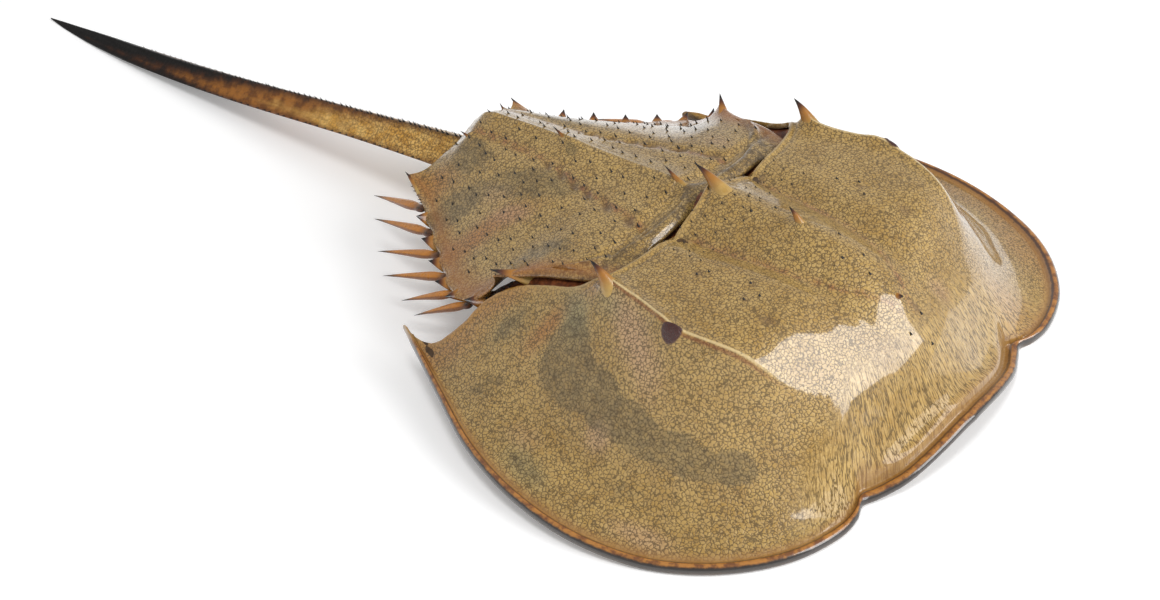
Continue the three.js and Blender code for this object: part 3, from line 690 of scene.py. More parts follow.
# %% Relief of the rear plate
PITS = [  # x, distance from the midline, size
    (-18.7, 25.8, 3.6), (-32.2, 22.5, 3.3), (-43.8, 19.6, 3.0), (-52.0, 17.6, 2.6), (-60.0, 15.0, 2.4),
    (-68, 13, 2),
]
PIT_LEAN = (0.8, 0.6)  # direction of the long axis of a pit
PIT_WIDTH = 0.55
PIT_DEPTH = 0.8
PIT_LINE = [(-118, 9), (-68, 13), (-52, 17.6), (-32, 22.5), (-18, 26), (-4, 28)]
MARGIN_THORNS = [  # root, tip, radius, on the left side
    ((-37.5, 59.5, 42), (-48.5, 70.3, 47.8), 5), ((-51, 67, 29), (-56.5, 76.7, 34.2), 3.6),
    ((-65, 65.5, 26), (-68.3, 74.7, 28.9), 2.7), ((-74, 62.5, 24.5), (-79.4, 68.4, 27.1), 3.2),
    ((-84.5, 55, 24), (-89.7, 60.5, 27.3), 3.2), ((-95.5, 47.5, 24.5), (-100.2, 52.8, 28.6), 3.2),
    ((-106.5, 39.3, 26.5), (-109.6, 45.2, 30.6), 2.8), ((-118, 32, 31.5), (-126.6, 32, 37.2), 3.4),
]
KEEL_THORNS = [((-12, 0, 57), (-21.9, 0, 64.2), 3.2), ((-66, 0, 55), (-76, 0, 60.7), 2.8),
               ((-103, 0, 51.5), (-109.9, 0, 55.4), 2.6)]
BEHIND_BORDER = (-14, -9)  # the roof proper starts behind these
BORDER_ROLL, BORDER_ROLL_AT, BORDER_ROLL_WIDTH = 1.5, 3.2, 2.6
BORDER_GROOVE, BORDER_GROOVE_AT, BORDER_GROOVE_WIDTH = 0.6, -0.6, 1.0
HINGE_DROP = 0.9  # the border turns down at the hinge
PIT_TROUGH, PIT_TROUGH_WIDTH = 0.7, 3.4
SIDE_TROUGH, SIDE_TROUGH_AT, SIDE_TROUGH_WIDTH = 0.4, 0.74, 0.1
KEEL_CREST, KEEL_CREST_WIDTH = 0.5, 1.4
TOOTH = [(0, 1), (0.3, 0.8), (0.6, 0.48), (0.85, 0.18), (1, 0.02)]
TAIL_BAY_THORN = ((-108, 10, 46.5), (-114, 11.9, 50.2), 2.4)


def pit_mask(x, y, length=1.0, width=1.0, shift=0.0):
    """1 inside the muscle pits, slanted ovals in two rows."""
    total = 0
    for pit_x, pit_y, size in PITS:
        along = (x - pit_x - shift) * PIT_LEAN[0] + (np.abs(y) - pit_y) * PIT_LEAN[1]
        across = -(x - pit_x - shift) * PIT_LEAN[1] + (np.abs(y) - pit_y) * PIT_LEAN[0]
        reach = (along / (size * length)) ** 2 + (across / (size * PIT_WIDTH * width)) ** 2
        total = total + np.exp(-(reach**1.5))
    return np.clip(total, 0, 1)


def border_line(x, y):
    """Distance ahead of the line where the front border of the rear plate meets its roof."""
    side = np.abs(y)
    line = profile([(0, -9), (30, -9.5), (40, -13.5), (49, -18.6), (56, -27), (62, -36)], side)
    return x - line


def rear_relief(x, y, way, u):
    """Extra height of the rear plate; way runs from the midline to the margin, u from hinge to tail."""
    height = -PIT_DEPTH * pit_mask(x, y)
    border, on_roof = border_line(x, y), 1 - smoothstep(*BEHIND_BORDER, x)
    height = height + BORDER_ROLL * hill(border - BORDER_ROLL_AT, BORDER_ROLL_WIDTH)
    height = height - BORDER_GROOVE * hill(border - BORDER_GROOVE_AT, BORDER_GROOVE_WIDTH)
    height = height - HINGE_DROP * smoothstep(-0.5, 3, x - FRONT_X + 2.2)
    height = height - PIT_TROUGH * hill(np.abs(y) - profile(PIT_LINE, x), PIT_TROUGH_WIDTH) * on_roof
    trough = smoothstep(0.36, 0.5, u)
    height = height - SIDE_TROUGH * trough * hill(way - SIDE_TROUGH_AT, SIDE_TROUGH_WIDTH)
    return height + KEEL_CREST * hill(np.abs(y), KEEL_CREST_WIDTH) * on_roof


print("a pit middle:", round(float(pit_mask(np.array(-18.7), np.array(25.8))), 2))

# %% [markdown]
# ## Margin, lip and inner skin of the rear plate
#
# At each side margin the wall thickens into a rounded lip. Its teeth are not stuck on: the margin runs
# out to them in arcs, so the skin near each tooth's root is drawn towards the tooth first, and the tooth
# itself carries on from there. The inner skin follows the roof at the thickness of the wall.

# %% Sheet of the rear plate
STATIONS = 190  # rows from the hinge to the tail
ACROSS = 78  # steps from the midline to either margin
CROWDING = 0.9  # below 1, this brings the steps closer together near the margins
MARGIN_SHARE = 3.4  # mm of every row that belong to the rounded lip
MARGIN_DEPTH = 3.2
margin_section = outline([
    (3.4, 3.2), (2.2, 3.15), (0.9, 2.7), (0, 1.8), (0.1, 0.8), (1.2, 0), (4, 0.15), (8, 0.6),
    (8.5, 1.2), (8, 1.8), (5.5, 1.75), (3.4, 1.5),
])
MARGIN_STEPS = 22
INNER_ACROSS = 30

u = np.linspace(0, 1, STATIONS)[:, None]
half_width = roof_plan(u, np.ones_like(u))[..., 1]
widest = 1 - MARGIN_SHARE / half_width
v = np.linspace(-1, 1, 2 * ACROSS + 1)[None, :]
v = np.sign(v) * np.abs(v) ** CROWDING * widest
top = roof(np.broadcast_to(u, v.shape), v)
x, y = top[..., 0], top[..., 1]
top[..., 2] += rear_relief(x, y, np.abs(v), u)
lip = margin_section(np.linspace(0, 1, MARGIN_STEPS))
lip_v = 1 - lip[None, :, 0] / half_width
lip_plan = roof_plan(np.broadcast_to(u, lip_v.shape), lip_v)
lip_z = roof(np.broadcast_to(u, lip_v.shape), lip_v)[..., 2] - MARGIN_DEPTH + lip[None, :, 1]
left_lip = np.stack([lip_plan[..., 0], lip_plan[..., 1], lip_z], axis=-1)
right_lip = left_lip[:, ::-1] * (1, -1, 1)

w = np.linspace(1, -1, 2 * INNER_ACROSS + 1)[None, :]
w = np.sign(w) * np.abs(w) ** CROWDING * widest
below = roof(np.broadcast_to(u, w.shape), w)
facing = np.cross(np.gradient(below, axis=0), np.gradient(below, axis=1))
facing /= np.linalg.norm(facing, axis=-1, keepdims=True)
facing *= np.sign(facing[..., 2:])
below = below - facing * PLATE

ring = np.concatenate([top, left_lip, below, right_lip], axis=1)
x, y = ring[..., 0], ring[..., 1]
TOOTH_PULL = 0.72
MARGIN_FROM = 30  # thorns further than this from the midline stand on the margin
TOOTH_FROM, TOOTH_BEHIND = 35, -45  # and those in this stretch of it are broad teeth
rear_roots = list(KEEL_THORNS)
for root, tip, radius in MARGIN_THORNS + [TAIL_BAY_THORN]:
    for mirror in (-1, 1):
        rear_roots.append(((root[0], root[1] * mirror, root[2]), (tip[0], tip[1] * mirror, tip[2]), radius))
for root, tip, radius in rear_roots:
    if abs(root[1]) > MARGIN_FROM:
        foot = (np.array(root) + np.array(tip)) / 2
        ring = swell(ring, foot, tip, radius * FOOT_REACH, TOOTH_PULL)
    else:
        ring = swell(ring, root, tip, radius * 1.1, FOOT_SHARE)

ends = np.cumsum([top.shape[1], MARGIN_STEPS, below.shape[1], MARGIN_STEPS])
way = np.concatenate([np.abs(v), np.broadcast_to(lip_v, left_lip.shape[:2]), np.abs(w),
                      np.broadcast_to(lip_v, left_lip.shape[:2])], axis=1)
under = np.zeros(ends[-1])
under[ends[0] + 7:ends[3] - 7] = 1
print("ring of the rear plate:", ring.shape)

# %% [markdown]
# ## Colours and thorns of the rear plate
#
# As on the front plate, marks are painted on the points: dark pits with a reddish slit, the dark
# glossy border behind the hinge, an amber band along the margins, and a few stains.

# %% Rear plate
REAR_MUD = [
    (-66, -22, 26, 10, 10, 0.55), (-63, -4, 3, 3, 0, 0.7), (-97, -37, 12, 7, 30, 0.8),
    (-40, -48, 14, 6, 20, 0.5), (-88, 20, 20, 10, 0, 0.5), (-46, 46, 16, 8, -20, 0.5),
    (-30, 8, 16, 6, 0, 0.3), (-104, -18, 12, 8, 0, 0.6),
]
REAR_PINK = [(-68, -37, 9, 4, 15, 0.9), (-24, 36, 6, 4, 0, 0.4), (-80, -30, 8, 4, 0, 0.4)]
REAR_AMBER = [
    (-81, -50, 26, 6, 42, 1.0), (-50, -64, 12, 6, 20, 0.9), (-81, 50, 26, 6, -42, 0.9),
    (-50, 64, 12, 6, -20, 0.9), (-114, -30, 10, 7, 20, 0.8), (-114, 30, 10, 7, -20, 0.8),
    (-36, -60, 10, 5, 0, 0.7), (-36, 60, 10, 5, 0, 0.7),
]
outside = np.broadcast_to(1 - under, x.shape)
behind_border = 1 - smoothstep(*BEHIND_BORDER, x)
masks = {
    "margin": (smoothstep(0.8, 1.0, way) * outside).ravel(),
    "under": np.broadcast_to(under, x.shape).ravel(),
    "pit": (pit_mask(x, y) * outside).ravel(),
    "slit": (0.5 * pit_mask(x, y, 0.4, 0.35, 4.4) * outside).ravel(),
    "border": (smoothstep(-1.2, 0.2, border_line(x, y)) * outside).ravel(),
    "streak": (hill(np.abs(y) - profile(PIT_LINE, x) + 1.5, 1.6) * behind_border * outside).ravel(),
    # On the rear plate this mask holds old mud only.
    "mud_and_shade": (spots(x, y, REAR_MUD) * outside).ravel(),
    "pink": (spots(x, y, REAR_PINK) * outside).ravel(),
    "amber": (spots(x, y, REAR_AMBER) * outside).ravel(),
}
rear = Heap()
faces = sheet_faces(STATIONS, ends[-1], round_columns=True).tolist()
for row in (0, STATIONS - 1):
    number = np.arange(ends[-1]) + row * ends[-1]
    upper = number[:ends[0]].tolist()
    lower = number[ends[1]:ends[2]][::-1].tolist()
    faces += zip_edges([number[-1]] + upper + [number[ends[0]]],
                       [number[ends[2]]] + lower + [number[ends[1] - 1]])
    faces.append(number[ends[0]:ends[1]].tolist())
    faces.append(number[ends[2]:ends[3]].tolist())
rear.add(ring, faces, **masks)
for root, tip, radius in rear_roots:
    if abs(root[1]) > TOOTH_FROM and root[0] < TOOTH_BEHIND:
        spike(rear, root, tip, radius * 1.35, shape=TOOTH, flatness=0.34, rings=16, sides=20)
    elif abs(root[1]) > MARGIN_FROM:
        spike(rear, root, tip, radius * 0.9, flatness=0.45, rings=16, sides=20)
    else:
        spike(rear, root, tip, radius * 0.7, rings=16, sides=16)
print("rear plate:", rear.count, "points,", len(rear_roots), "thorns")

# %% [markdown]
# ## Spinules
#
# Tiny black spinules stand all over the rear plate and thinly on the front one, a few millimetres
# apart and all leaning back. On the shell they grow at random but never close together, so places are
# drawn by chance, with a fixed seed, and any that falls too near another is dropped.

# %% Spinules
chance = np.random.default_rng(11)


def scatter(count, gap, low, high, keep):
    """Random plan points at least gap apart for which keep(x, y) holds."""
    places = []
    for attempt in range(count):
        spot = chance.uniform(low, high)
        if keep(*spot) and all(math.hypot(spot[0] - p[0], spot[1] - p[1]) > gap for p in places):
            places.append(spot)
    return places


def sheet_height(sheet, spot):
    """Point of a skin nearest in plan to the given spot."""
    flat = sheet.reshape(-1, 3)
    return flat[np.argmin((flat[:, 0] - spot[0]) ** 2 + (flat[:, 1] - spot[1]) ** 2)]


def on_rear(x, y):
    """Whether a plan point lies on the rear plate, clear of its margin and its keel."""
    inside = abs(y) < profile([(-118, 30), (-90, 48), (-62, 64), (-40, 60), (-14, 52)], x)
    return inside and abs(y) > 2.5


for spot in scatter(900, 5.4, (-116, -64), (-14, 64), on_rear):
    place = sheet_height(ring[:, :ends[0]], spot)
    spinule(rear, place, (-0.55, 0, 0.83), chance.uniform(1.1, 1.9), 0.6)
for u_place in np.linspace(0.3, 0.98, 46):
    for mirror in (-1, 1):
        at_x, at_y = side_margin(u_place + chance.uniform(-0.006, 0.006))
        place = (at_x, (at_y - 0.3) * mirror, float(profile(MARGIN_LINE, u_place)) - 1.2)
        spinule(rear, place, (-0.55, 0.8 * mirror, 0.25), chance.uniform(0.9, 1.7), 0.55)
for spot in scatter(240, 4.5, (-2, -34), (20, 34), lambda x, y: True):
    place = sheet_height(chain[:, :OUTER_STEPS], spot)
    spinule(front, place, (-0.5, 0, 0.86), chance.uniform(0.7, 1.2), 0.42)
TUBERCLES = [
    (22, -39), (25, -36), (41, -33), (44, -41), (47, -36), (30, 36), (38, 40), (44, 34), (52, 5),
    (60, -4), (64, 3), (70, -2), (14, 4), (20, -4), (26, 3), (88, 4), (90, -5), (95, 1),
]
for spot in TUBERCLES:
    spinule(front, sheet_height(chain[:, :OUTER_STEPS], spot), (-0.3, 0, 0.95), 1.0, 0.75)
print("front plate now", front.count, "points, rear plate", rear.count)

# %% [markdown]
# ## The tail spine
#
# The tail is a long three-sided spike: a sharp ridge on top, two flat flanks and a hollowed underside.
# It is swept from the root to the tip as rings of one rounded section, whose height and width follow
# three profiles. A few broad lumps keep it from looking turned on a lathe.

# %% Tail spine
TAIL_ROOT_X = -114.0
TAIL_TIP_X = -387.5
RIDGE_LINE = [(TAIL_TIP_X, 0.9), (-372, 2.6), (-349, 5), (-316.5, 8), (-283, 11.8), (-236, 18.6),
              (-172, 28.6), (-132, 35), (TAIL_ROOT_X, 37)]
UNDERSIDE_LINE = [(TAIL_TIP_X, 0.5), (-374, 0), (-349, 0.3), (-316, 2), (-260, 7.6), (-180, 19),
                  (-140, 24.5), (TAIL_ROOT_X, 27.5)]
TAIL_HALF_WIDTH = [(TAIL_TIP_X, 0.2), (-374, 2.4), (-350, 5), (-316, 6.8), (-260, 8.2), (-180, 9.6),
                   (-140, 11.2), (-122, 11.4), (TAIL_ROOT_X, 8)]
TAIL_STATIONS = 320
TAIL_RING = 26  # points in half a ring
tail_half = outline([
    (0, 0.99), (0.05, 1.0), (0.14, 0.9), (0.34, 0.66), (0.6, 0.46), (0.86, 0.28), (0.985, 0.17),
    (0.99, 0.08), (0.86, 0.0), (0.55, 0.03), (0.3, 0.1), (0, 0.13),
])

share = np.linspace(0, 1, TAIL_STATIONS)[:, None] ** 0.93
tail_x = TAIL_ROOT_X + (TAIL_TIP_X - TAIL_ROOT_X) * share
ridge_z = profile(RIDGE_LINE, tail_x)
floor_z = profile(UNDERSIDE_LINE, tail_x)
half = profile(TAIL_HALF_WIDTH, tail_x)
half_ring = tail_half(np.linspace(0, 1, TAIL_RING))
left = np.stack([np.broadcast_to(tail_x, (TAIL_STATIONS, TAIL_RING)), half * half_ring[None, :, 0],
                 floor_z + (ridge_z - floor_z) * half_ring[None, :, 1]], axis=-1)
tail_ring = np.concatenate([left, left[:, -2:0:-1] * (1, -1, 1)], axis=1)
tail_ring[..., 2] = np.maximum(tail_ring[..., 2], 0.05)
round_count = tail_ring.shape[1]
ridge_mask = hill(tail_ring[..., 1] / half, 0.14) * (tail_ring[..., 2] > (ridge_z + floor_z) / 2)
edge_mask = hill(np.abs(tail_ring[..., 1]) / half - 0.98, 0.07)

tail = Heap()
faces = sheet_faces(TAIL_STATIONS, round_count, round_columns=True).tolist()
faces += [list(range(round_count)), [(TAIL_STATIONS - 1) * round_count + k for k in range(round_count)]]
upward = (tail_ring[..., 2] - floor_z) / np.maximum(ridge_z - floor_z, 0.1)
tail.add(tail_ring, faces, way=np.broadcast_to(share, tail_ring.shape[:2]).ravel(), ridge=ridge_mask.ravel(),
         edge=edge_mask.ravel(), upward=upward.ravel())
for place in np.arange(-126, -300, -3.1):
    spot = place + chance.uniform(-0.8, 0.8)
    size = 0.5 + 0.5 * (spot + 300) / 180
    spinule(tail, (spot, chance.uniform(-0.4, 0.4), profile(RIDGE_LINE, spot) - 0.1), (-0.65, 0, 0.75),
            2.2 * size, 0.75 * size)
for place in np.arange(-140, -330, -4.3):
    for mirror in (-1, 1):
        spot = place + chance.uniform(-1.2, 1.2)
        low = profile(UNDERSIDE_LINE, spot)
        height = profile(RIDGE_LINE, spot) - low
        spinule(tail, (spot, 0.985 * profile(TAIL_HALF_WIDTH, spot) * mirror, low + 0.15 * height),
                (-0.8, 0.55 * mirror, 0.1), 1.2, 0.5)
print("tail spine:", tail.count, "points")

# %% [markdown]
# ## Movable side spines
#
# Six lances hang in sockets along each side margin. Each has a ball at its root, a short neck, and a
# long flattened blade with a black point. They share the spike sweep with the thorns, with another
# profile of thickness. Each is an object of its own, as on the animal, where each one moves.

# %% Side spines
MOVABLE_SPINES = [  # root, tip, on the left side, from the tail forward
    ((-114, 37.3, 27.6), (-150, 28.8, 14)), ((-102.5, 45.6, 25.6), (-139, 40.5, 14)),
    ((-91, 53.6, 24.8), (-123, 55.5, 14)), ((-79.5, 61.8, 24.8), (-110.5, 65.8, 14)),
    ((-69.5, 68.3, 25.4), (-94, 73, 14)), ((-59.5, 71.6, 27), (-84, 77, 14)),
]
LANCE = [
    (0, 0.5), (0.03, 0.8), (0.07, 0.86), (0.12, 0.78), (0.2, 0.94), (0.3, 0.98), (0.5, 0.72),
    (0.7, 0.44), (0.85, 0.23), (1, 0.02),
]
lances = {}
for side_name, mirror in (("right", -1), ("left", 1)):
    for k, (root, tip) in enumerate(MOVABLE_SPINES):
        root = np.array((root[0], root[1] * mirror, root[2]))
        tip = np.array((tip[0], tip[1] * mirror, tip[2]))
        back = root - 0.05 * (tip - root)
        heap = Heap()
        spike(heap, back, tip, 2.5, bow=(0, 0, 0.8), shape=LANCE, flatness=0.62, rings=40, sides=18)
        lances[f"marginal_spine_{side_name}_{k + 1}"] = heap
print(len(lances), "side spines of", lances["marginal_spine_left_1"].count, "points")

# %% [markdown]
# ## Skin of the hinge
#
# A strip of reddish dried skin closes the gap between the two plates. It is a thin closed loop swept
# from side to side under the rear edge of the front plate, with fine wrinkles across its length. Beside
# it, under each shoulder of the rear plate, a band of the same skin follows the front plate's edge.

# %% Hinge skin
SKIN_SECTION = outline([
    (1, -1.6), (5, -1.6), (5, -0.2), (1, 0), (-4, 0.2), (-9, -1), (-9, -2), (-4, -1.2), (1, -1.6),
])
SKIN_STEPS = 220
SKIN_RING = 25
skin_loop = SKIN_SECTION(np.linspace(0, 1, SKIN_RING + 1)[:-1])
skin_y = np.linspace(-50, 50, SKIN_STEPS)[:, None]
skin_under = dome(np.ones_like(skin_y), skin_y) - PLATE - 3
wrinkle = 0.12 * np.sin(skin_y * 2.7) * np.sin(skin_y * 0.61 + 1) + 0.08 * np.sin(skin_y * 5.3 + 0.7)
skin_x = skin_loop[None, :, 0] + np.zeros_like(skin_y)
skin_z = skin_under + skin_loop[None, :, 1] + wrinkle
skin_points = np.stack([skin_x, np.broadcast_to(skin_y, skin_x.shape), skin_z], axis=-1)
skin = Heap()
faces = sheet_faces(SKIN_STEPS, SKIN_RING, round_columns=True).tolist()
faces += [list(range(SKIN_RING)), [(SKIN_STEPS - 1) * SKIN_RING + k for k in range(SKIN_RING)]]
skin.add(skin_points, faces)

BAND_STEPS = 60
BAND_ENDS = (0.36, 0.745)  # shares of the front plate's rear edge between which the band runs
path = rear_edge(np.linspace(*BAND_ENDS, BAND_STEPS))
heading = np.gradient(path, axis=0)
heading /= np.linalg.norm(heading, axis=1, keepdims=True)
inwards = np.stack([-heading[:, 1], heading[:, 0]], axis=-1)
margin_u = np.linspace(0, 0.6, 400)
margin = side_margin(margin_u)
apart = np.linalg.norm(path[:, None] - margin[None], axis=-1)
gap = apart.min(axis=1)[:, None]
edge_z = dome(path[:, 0], path[:, 1])[:, None]
lip_under = profile(MARGIN_LINE, margin_u[apart.argmin(axis=1)])[:, None] - MARGIN_DEPTH
reach = np.hstack([0 * gap - 2, 0 * gap, gap + 0.6, gap + 4, gap + 4, gap + 0.6, 0 * gap, 0 * gap - 2])
height = np.hstack([edge_z - 2.6, edge_z - 2.3, lip_under - 0.2, lip_under - 0.1,
                    lip_under - 0.9, lip_under - 1.1, edge_z - 3.2, edge_z - 3.5])
for mirror in (-1, 1):
    plan = path[:, None] + inwards[:, None] * reach[..., None]
    band = np.stack([plan[..., 0], plan[..., 1] * mirror, height], axis=-1)
    corners = band.shape[1]
    faces = sheet_faces(BAND_STEPS, corners, round_columns=True).tolist()
    faces += [list(range(corners)), [(BAND_STEPS - 1) * corners + k for k in range(corners)]]
    skin.add(band, faces)
print("hinge skin:", skin.count, "points")

# %% [markdown]
# ## Wiring finishes
#
# All finishes are procedural node trees. A small board object lays the nodes down and joins them, so
# that a finish reads as a few lines: masks from the points, patterns, and colours mixed over each
# other. The nodes could be placed by hand, but then the recipe would be hard to read or change.

# %% Board for nodes
class Board:
    """Lays nodes into one tree and joins them; values may be numbers, colours or sockets."""

    def __init__(self, tree):
        self.tree = tree

    def put(self, kind, inputs=(), **settings):
        node = self.tree.nodes.new(kind)
        for name, value in settings.items():
            setattr(node, name, value)
        for name, value in dict(inputs).items():
            self.feed(node.inputs[name], value)
        return node

    def feed(self, socket, value):
        if isinstance(value, bpy.types.NodeSocket):
            self.tree.links.new(value, socket)
        elif isinstance(value, str):
            socket.default_value = (*to_linear(value), 1)
        else:
            socket.default_value = value

    def mask(self, name):
        return self.put("ShaderNodeAttribute", attribute_name=name).outputs["Fac"]

    def calc(self, operation, *values, clamp=False):
        return self.put("ShaderNodeMath", enumerate(values), operation=operation, use_clamp=clamp).outputs[0]

    def ease(self, value, start, end):
        """0 below start and 1 above end, smooth between; start may be above end."""
        node = self.put("ShaderNodeMapRange", {"Value": value}, interpolation_type="SMOOTHSTEP")
        node.inputs["From Min"].default_value, node.inputs["From Max"].default_value = start, end
        return node.outputs["Result"]

    def scale(self, value, low, high):
        node = self.put("ShaderNodeMapRange", {"Value": value, "To Min": low, "To Max": high})
        return node.outputs["Result"]

    def mix(self, share, under, over):
        node = self.put("ShaderNodeMix", data_type="RGBA", clamp_factor=True)
        for index, value in ((0, share), (6, under), (7, over)):
            self.feed(node.inputs[index], value)
        return node.outputs[2]

    def add_up(self, *values):
        total = values[0]
        for value in values[1:]:
            total = self.calc("ADD", total, value)
        return total

    def times(self, *values):
        total = values[0]
        for value in values[1:]:
            total = self.calc("MULTIPLY", total, value)
        return total

    def use(self, group, **inputs):
        node = self.put("ShaderNodeGroup", node_tree=group)
        for name, value in inputs.items():
            self.feed(node.inputs[name.replace("_", " ")], value)
        return node.outputs

    def noise(self, vector, scale, detail=3.0, roughness=0.55):
        return self.put("ShaderNodeTexNoise", {"Vector": vector, "Scale": scale, "Detail": detail,
                                               "Roughness": roughness}).outputs


def to_linear(colour):
    """Linear red, green and blue of a colour written as #rrggbb."""
    parts = [int(colour[k:k + 2], 16) / 255 for k in (1, 3, 5)]
    return tuple(p / 12.92 if p <= 0.04045 else ((p + 0.055) / 1.055) ** 2.4 for p in parts)


def new_group(name, inputs, outputs):
    """An empty node group with named sockets: returns it, its board, and its inner ends."""
    group = bpy.data.node_groups.new(name, "ShaderNodeTree")
    for label, kind in inputs.items():
        group.interface.new_socket(label, in_out="INPUT", socket_type=kind)
    for label, kind in outputs.items():
        group.interface.new_socket(label, in_out="OUTPUT", socket_type=kind)
    board = Board(group)
    return group, board, board.put("NodeGroupInput").outputs, board.put("NodeGroupOutput").inputs


VALUE, VECTOR = "NodeSocketFloat", "NodeSocketVector"
print("tan as linear light:", [round(c, 3) for c in to_linear("#a8925f")])

# %% [markdown]
# ## Crackle
#
# The dried shell is covered with raised pads of about a millimetre and a half, parted by wandering dark lines
# that often break off. The pads are Voronoi cells whose borders are bent by noise, and a second noise
# breaks the lines. A painted image would not wrap the dome without stretching.

# %% Node group: crackle
crackle, board, given, result = new_group(
    "crackle", {"Vector": VECTOR, "Cell Size": VALUE, "Line Width": VALUE, "Gaps": VALUE},
    {"Line": VALUE, "Rise": VALUE, "Tone": VALUE})
per_size = board.calc("DIVIDE", 1.0, given["Cell Size"])
scaled = board.put("ShaderNodeVectorMath", operation="SCALE")
board.feed(scaled.inputs[0], given["Vector"])
board.feed(scaled.inputs["Scale"], per_size)
warp = board.noise(scaled.outputs[0], 1.3, 2.0)["Color"]
centred = board.put("ShaderNodeVectorMath", operation="SUBTRACT")
board.feed(centred.inputs[0], warp)
centred.inputs[1].default_value = (0.5, 0.5, 0.5)
bent = board.put("ShaderNodeVectorMath", operation="MULTIPLY_ADD")
board.feed(bent.inputs[0], centred.outputs[0])
bent.inputs[1].default_value = (0.95, 0.95, 0.95)
board.feed(bent.inputs[2], scaled.outputs[0])
border = board.put("ShaderNodeTexVoronoi", {"Vector": bent.outputs[0], "Scale": 1.0, "Randomness": 1.0},
                   feature="DISTANCE_TO_EDGE").outputs["Distance"]
cell = board.put("ShaderNodeTexVoronoi", {"Vector": bent.outputs[0], "Scale": 1.0, "Randomness": 1.0},
                 feature="F1").outputs["Color"]
near = board.calc("DIVIDE", border, given["Line Width"])
drawn = board.ease(near, 1.0, 0.25)
fine = board.noise(scaled.outputs[0], 0.85, 2.0)["Fac"]
kept = board.calc("SUBTRACT", fine, given["Gaps"])
kept = board.ease(kept, -0.06, 0.06)
board.feed(result["Line"], board.times(drawn, kept))
pad = board.ease(near, 0.1, 2.2)
board.feed(result["Rise"], board.add_up(board.times(pad, kept), board.calc("SUBTRACT", 1.0, kept)))
tone = board.put("ShaderNodeSeparateColor", {"Color": cell}).outputs["Red"]
board.feed(result["Tone"], tone)
print(crackle.name, "has", len(crackle.nodes), "nodes")

# %% [markdown]
# ## Blotches and specks
#
# Stains have soft uneven outlines: noise cut off at a level gives them. Specks are the tiny dark and
# pale dots of dirt and wear: small Voronoi cells, of which only some are kept, by their random tone.

# %% Node groups: blotches and specks
blotches, board, given, result = new_group(
    "blotches", {"Vector": VECTOR, "Size": VALUE, "Level": VALUE, "Softness": VALUE}, {"Mask": VALUE})
cloud = board.noise(given["Vector"], board.calc("DIVIDE", 1.0, given["Size"]), 5.0, 0.62)["Fac"]
over = board.calc("SUBTRACT", cloud, given["Level"])
board.feed(result["Mask"], board.ease(board.calc("DIVIDE", over, given["Softness"]), -1.0, 1.0))

specks, board, given, result = new_group(
    "specks", {"Vector": VECTOR, "Spacing": VALUE, "Amount": VALUE}, {"Mask": VALUE})
dots = board.put("ShaderNodeTexVoronoi", {"Vector": given["Vector"], "Randomness": 1.0,
                                          "Scale": board.calc("DIVIDE", 1.0, given["Spacing"])})
tone = board.put("ShaderNodeSeparateColor", {"Color": dots.outputs["Color"]}).outputs
chosen = board.calc("LESS_THAN", tone["Red"], given["Amount"])
radius = board.scale(tone["Green"], 0.1, 0.3)
dot = board.ease(board.calc("SUBTRACT", dots.outputs["Distance"], radius), 0.06, -0.06)
board.feed(result["Mask"], board.times(dot, chosen))
print(blotches.name, "and", specks.name, "made")

# %% [markdown]
# ## Finish of the plates
#
# Dried horn: a tan to olive ground under a clear gloss. Over it lie the crackle, stains (partly painted
# shade under the right eye), amber rims, dark pits, a painted highlight and painted shade along the eye
# crests, and painted shade on the rim's lower edge and on the undersides, each mixed in by its mask.
# Thorns darken from amber to black towards their tips. The gloss is a coat over a slightly rough ground,
# as real cuticle is waxy over fibrous layers.

# %% Material: shell plates
GROUND_DARK = "#a58038"
GROUND_LIGHT = "#bb9852"
PALE_PAD = "#c4a66b"
WORN_BROWN = "#8e7040"
PINK_TAN = "#c9a283"
STAIN_AMBER = "#a5661f"
GREEN_GREY = "#66806a"
DARK_MUD_AND_SHADE = "#5d5233"
FURROW_RED = "#8f4522"
CRACK_BROWN = "#46351a"
PIT_BROWN = "#5e4222"
SLIT_RED = "#7a2f17"
BORDER_BROWN = "#43321a"
MARGIN_AMBER = "#9a5c1d"
CREST_HIGHLIGHT = "#d9c08c"
CREST_SHADE = "#7a3d16"
RIM_AMBER = "#8f561f"
BEAD_AMBER = "#b0752f"
BEAD_BROWN = "#70411a"
RIM_EDGE_SHADE = "#1a0f08"
GROOVE_BROWN = "#3a1b0c"
DIRT_BROWN = "#352815"
EYE_BROWN = "#3d140c"
UNDER_SHADE_DARK = "#3f2b16"
UNDER_SHADE_LIGHT = "#5c4424"
THORN_AMBER = "#a06a26"
THORN_BROWN = "#55290f"
THORN_BLACK = "#120b07"
SPINULE_BLACK = "#17110b"


def start_material(name):
    material = bpy.data.materials.new(name)
    material.use_nodes = True
    board = Board(material.node_tree)
    place = board.put("ShaderNodeTexCoord").outputs["Object"]
    in_mm = board.put("ShaderNodeVectorMath", operation="SCALE")
    board.feed(in_mm.inputs[0], place)
    in_mm.inputs["Scale"].default_value = 1 / MM
    shader = material.node_tree.nodes["Principled BSDF"]
    return material, board, in_mm.outputs[0], shader


def bump_into(board, shader, height_mm, strength=1.0):
    bump = board.put("ShaderNodeBump", {"Height": height_mm, "Strength": strength, "Distance": MM})
    board.feed(shader.inputs["Normal"], bump.outputs[0])


plate_finish, board, mm, shader = start_material("shell plates")
names = ("rimmed", "inward", "around", "stretch", "calm", "margin", "pit", "slit", "border", "streak", "mud_and_shade",
         "teal", "pink", "amber", "dull", "eye", "crest", "crest_side", "under", "thorn", "tip", "spinule")
mask = {name: board.mask(name) for name in names}

